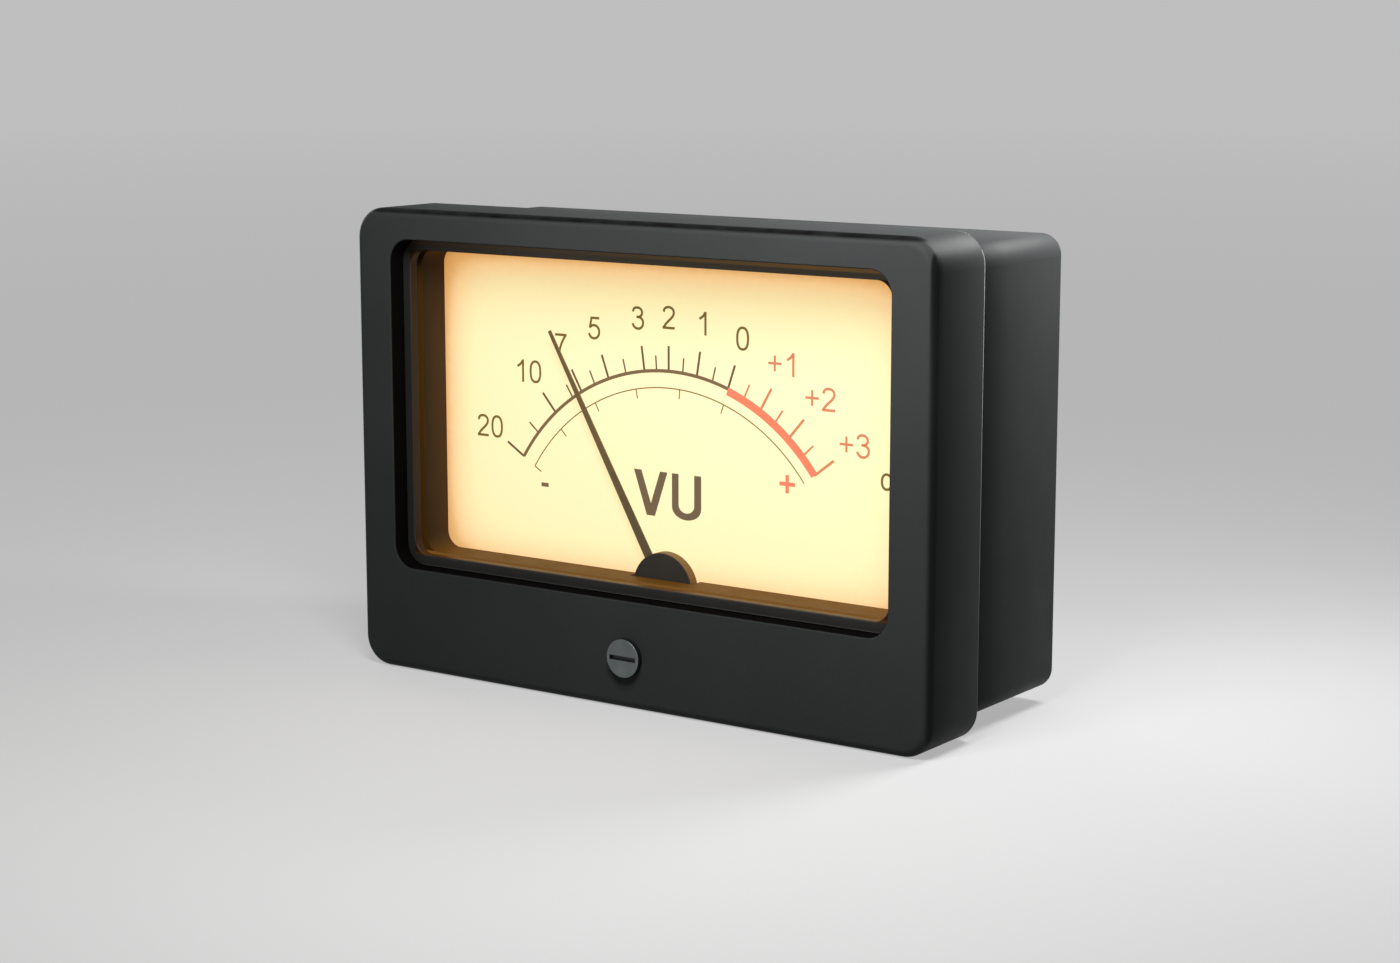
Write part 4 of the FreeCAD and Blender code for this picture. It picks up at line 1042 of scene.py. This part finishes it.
def u_edge(left, right, middle, wide, high, steps=16):
    """One edge of the U: its left top, round its bowl and its right top."""
    line = [Vector((left, U_TOP))]
    for step in range(steps + 1):
        turn = math.pi * (1 + step / steps)
        line.append(Vector((middle[0] + wide * math.cos(turn), middle[1] + high * math.sin(turn))))
    return line + [Vector((right, U_TOP))]


def vu_strokes():
    """The two bold letters in the middle of the dial."""
    v_left, v_right = ([Vector(point) for point in edge] for edge in (V_LEFT, V_RIGHT))
    return [(v_left, v_right, False), (u_edge(*U_OUTER), u_edge(*U_INNER), False)]


def print_dial():
    """The scale, its figures and letters. The ticks lie a little lower than the arcs that they cross."""
    inks = {name: ink("ink_" + name, colour, lit).material for name, colour, lit in INKS}
    low = PRINT_LIFT - PRINT_STEP_DOWN
    red_middle = ARC_RADIUS + ARC_WIDTH / 2 - RED_WIDTH / 2
    black_ticks = ((BLACK_MAJOR, MAJOR_REACH, BLACK_MAJOR_WIDTH),
                   (BLACK_MINOR, MINOR_REACH, BLACK_MINOR_WIDTH))
    red_ticks = ((RED_MAJOR, MAJOR_REACH, RED_MAJOR_WIDTH), (RED_MINOR, MINOR_REACH, RED_MINOR_WIDTH))
    fine_ticks = ((FINE_TICKS, FINE_RADIUS - FINE_TICK, FINE_TICK_WIDTH),)
    print_piece("scale_arc", [arc(ARC_RADIUS, SCALE_START, SCALE_ZERO, ARC_WIDTH)], inks["arc"])
    print_piece("scale_ticks", ticks(black_ticks, ARC_RADIUS), inks["tick"], low)
    print_piece("red_band", [arc(red_middle, SCALE_ZERO, SCALE_END, RED_WIDTH)], inks["red"])
    print_piece("red_ticks", ticks(red_ticks, red_middle), inks["red_thin"], low)
    print_piece("fine_arc", [arc(FINE_RADIUS, SCALE_START, SCALE_END, FINE_WIDTH)], inks["fine"])
    print_piece("fine_ticks", ticks(fine_ticks, FINE_RADIUS), inks["fine"], low)
    print_piece("numerals_black", words(BLACK_TEXT), inks["numeral"])
    print_piece("numerals_red", words(RED_TEXT), inks["red_thin"])
    print_piece("letters_vu", vu_strokes(), inks["bold"])
    print_piece("sign_minus", [bar(*MINUS_ENDS, MINUS_STROKE)], inks["arc"])
    print_piece("sign_plus", plus_sign(BIG_PLUS_MIDDLE, BIG_PLUS_SIZE, BIG_PLUS_STROKE), inks["red"])


# ---- threads ----


def thread_rows(start, end, radius, pitch, bevel):
    """Depth, radius, thread depth and pitch of closely spaced rings along a threaded length."""
    count = round((end - start) / pitch * RINGS_PER_TURN)
    rows = []
    for step in range(count + 1):
        depth = start + (end - start) * step / count
        fade = min(1.0, (depth - start) / pitch, (end - depth) / pitch)
        rows.append((depth, radius - max(0.0, bevel - (end - depth)), pitch * THREAD_DEPTH * fade, pitch))
    return rows


def add_stud(mesh, x, z, rows, sides=40):
    """A turned stud whose rings follow the rows, with a helical groove where a row has a thread depth."""
    rings = []
    for depth, radius, groove, pitch in rows:
        ring = []
        for side in range(sides):
            turn = side / sides
            phase = (depth / pitch - turn) % 1.0 if pitch else 0.0
            reach = radius - groove * abs(2 * phase - 1)
            angle = 2 * math.pi * turn
            across, height = x + reach * math.cos(angle), z + reach * math.sin(angle)
            ring.append(mesh.verts.new((across * MM, depth * MM, height * MM)))
        rings.append(ring)
    for ring, after in zip(rings, rings[1:]):
        for side in range(sides):
            following = (side + 1) % sides
            mesh.faces.new((ring[side], ring[following], after[following], after[side]))
    mesh.faces.new(rings[0])
    mesh.faces.new(rings[-1])


def stud_piece(name, node, nut, places, head, base, end, material):
    """Studs with real threads in place of the plain ones: a head, a base through the wall and its nut,
    and a free end."""
    front, tip = (corner[1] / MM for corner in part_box(node))
    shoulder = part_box(nut)[1][1] / MM + OVERSTAND
    radius, thickness = head
    neck = front + thickness
    rows = [(front, radius - BASE_BEVEL, 0.0, 0.0), (front + BASE_BEVEL, radius, 0.0, 0.0),
            (neck, radius, 0.0, 0.0)]
    rows += thread_rows(neck, shoulder, *base, BASE_BEVEL)
    rows += thread_rows(shoulder, tip, *end, END_BEVEL)
    mesh = bmesh.new()
    for x, z in places:
        add_stud(mesh, x, z, rows)
    piece = new_piece(name, mesh, material)
    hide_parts(node)


# ---- stage, lights and camera ----


def seen_rays(tree):
    """1 for the rays that show a surface: from the camera, off a gloss or through a clear sheet."""
    rays = tree.nodes.new("ShaderNodeLightPath")
    seen = rays.outputs["Is Camera Ray"]
    for kind in ("Is Glossy Ray", "Is Transmission Ray"):
        either = tree.nodes.new("ShaderNodeMath")
        either.operation = "MAXIMUM"
        tree.links.new(seen, either.inputs[0])
        tree.links.new(rays.outputs[kind], either.inputs[1])
        seen = either.outputs[0]
    return seen


def floor():
    """Pale floor round the part, which turns into the colour of the room far behind it."""
    finish = Finish("floor_pale", Roughness=0.8, Specular_IOR_Level=0.0)
    near = finish.mix(finish.noise(2.0, 4.0), tint(*[FLOOR_LEVEL] * 3), tint(*[FLOOR_LEVEL + 4] * 3))
    far = finish.add("ShaderNodeVectorMath", {0: finish.place}, operation="LENGTH").outputs["Value"]
    far = finish.span(far, FLOOR_NEAR, FLOOR_FAR)
    glow = finish.span(far, 0.0, 1.0, FLOOR_GLOW, BACKGROUND)
    finish.feed(
        Base_Color=finish.mix(far, near, BLACK),
        Emission_Color=WHITE,
        Emission_Strength=finish.times(seen_rays(finish.tree), glow),
        Normal=finish.bump(finish.noise(900.0, 2.0), 0.02),
    )
    mesh = bmesh.new()
    bmesh.ops.create_circle(mesh, cap_ends=True, radius=FLOOR_RADIUS, segments=96)
    plane = put_mesh("floor", mesh, finish.material)
    plane.location.z = -FLOOR_DROP * MM


def world():
    """A plain pale room: its colour as the camera and reflections see it, and softer light from it."""
    sky = bpy.data.worlds.new("studio")
    sky.use_nodes = True
    tree = sky.node_tree
    level = tree.nodes.new("ShaderNodeMapRange")
    level.inputs["To Min"].default_value = AMBIENT
    level.inputs["To Max"].default_value = BACKGROUND
    tree.links.new(seen_rays(tree), level.inputs["Value"])
    tree.links.new(level.outputs[0], tree.nodes["Background"].inputs["Strength"])
    tree.nodes["Background"].inputs["Color"].default_value = WHITE
    bpy.context.scene.world = sky


def lamp(name, place, aim, size, power):
    """A round white lamp that points from its place at its aim."""
    data = bpy.data.lights.new(name, "AREA")
    data.shape = "DISK"
    data.size = size
    data.energy = power
    light = put(name, data)
    light.location = place
    light.rotation_euler = (Vector(aim) - Vector(place)).to_track_quat("-Z", "Y").to_euler()


def sun(name, towards, strength, angle):
    """Even light from the direction that points towards it."""
    data = bpy.data.lights.new(name, "SUN")
    data.energy = strength
    data.angle = math.radians(angle)
    light = put(name, data)
    light.rotation_euler = (-Vector(towards)).to_track_quat("-Z", "Y").to_euler()


def camera():
    """The camera as it was fitted to the photo."""
    data = bpy.data.cameras.new("camera")
    data.lens = CAMERA_LENS
    data.sensor_width = CAMERA_SENSOR
    data.clip_start = CAMERA_NEAR
    eye = put("camera", data)
    eye.location = CAMERA_PLACE
    eye.rotation_euler = (math.pi / 2 - CAMERA_DOWN, 0.0, CAMERA_TURN)
    bpy.context.scene.camera = eye


finishes = all_finishes()
dress_nodes(finishes)
print_dial()
stud_piece("threaded_studs", "mounting_studs", "mounting_nuts", STUD_PLACES,
           STUD_HEAD, M5, M4, finishes["zinc_steel"])
stud_piece("threaded_terminals", "signal_terminals", "terminal_nuts", TERMINAL_PLACES,
           TERMINAL_HEAD, M4, M3, finishes["terminal_brass"])

floor()
world()
lamp("key", (0.05, -0.115, 0.165), (0.03, 0.0, 0.06), 0.08, 0.4)
lamp("back_right", (0.076, 0.05, 0.13), (0.05, 0.0, 0.06), 0.05, 0.24)
sun("back_left", (-0.9, 0.6, 0.22), 1.6, 40.0)
camera()
bpy.context.scene.view_settings.view_transform = "Standard"
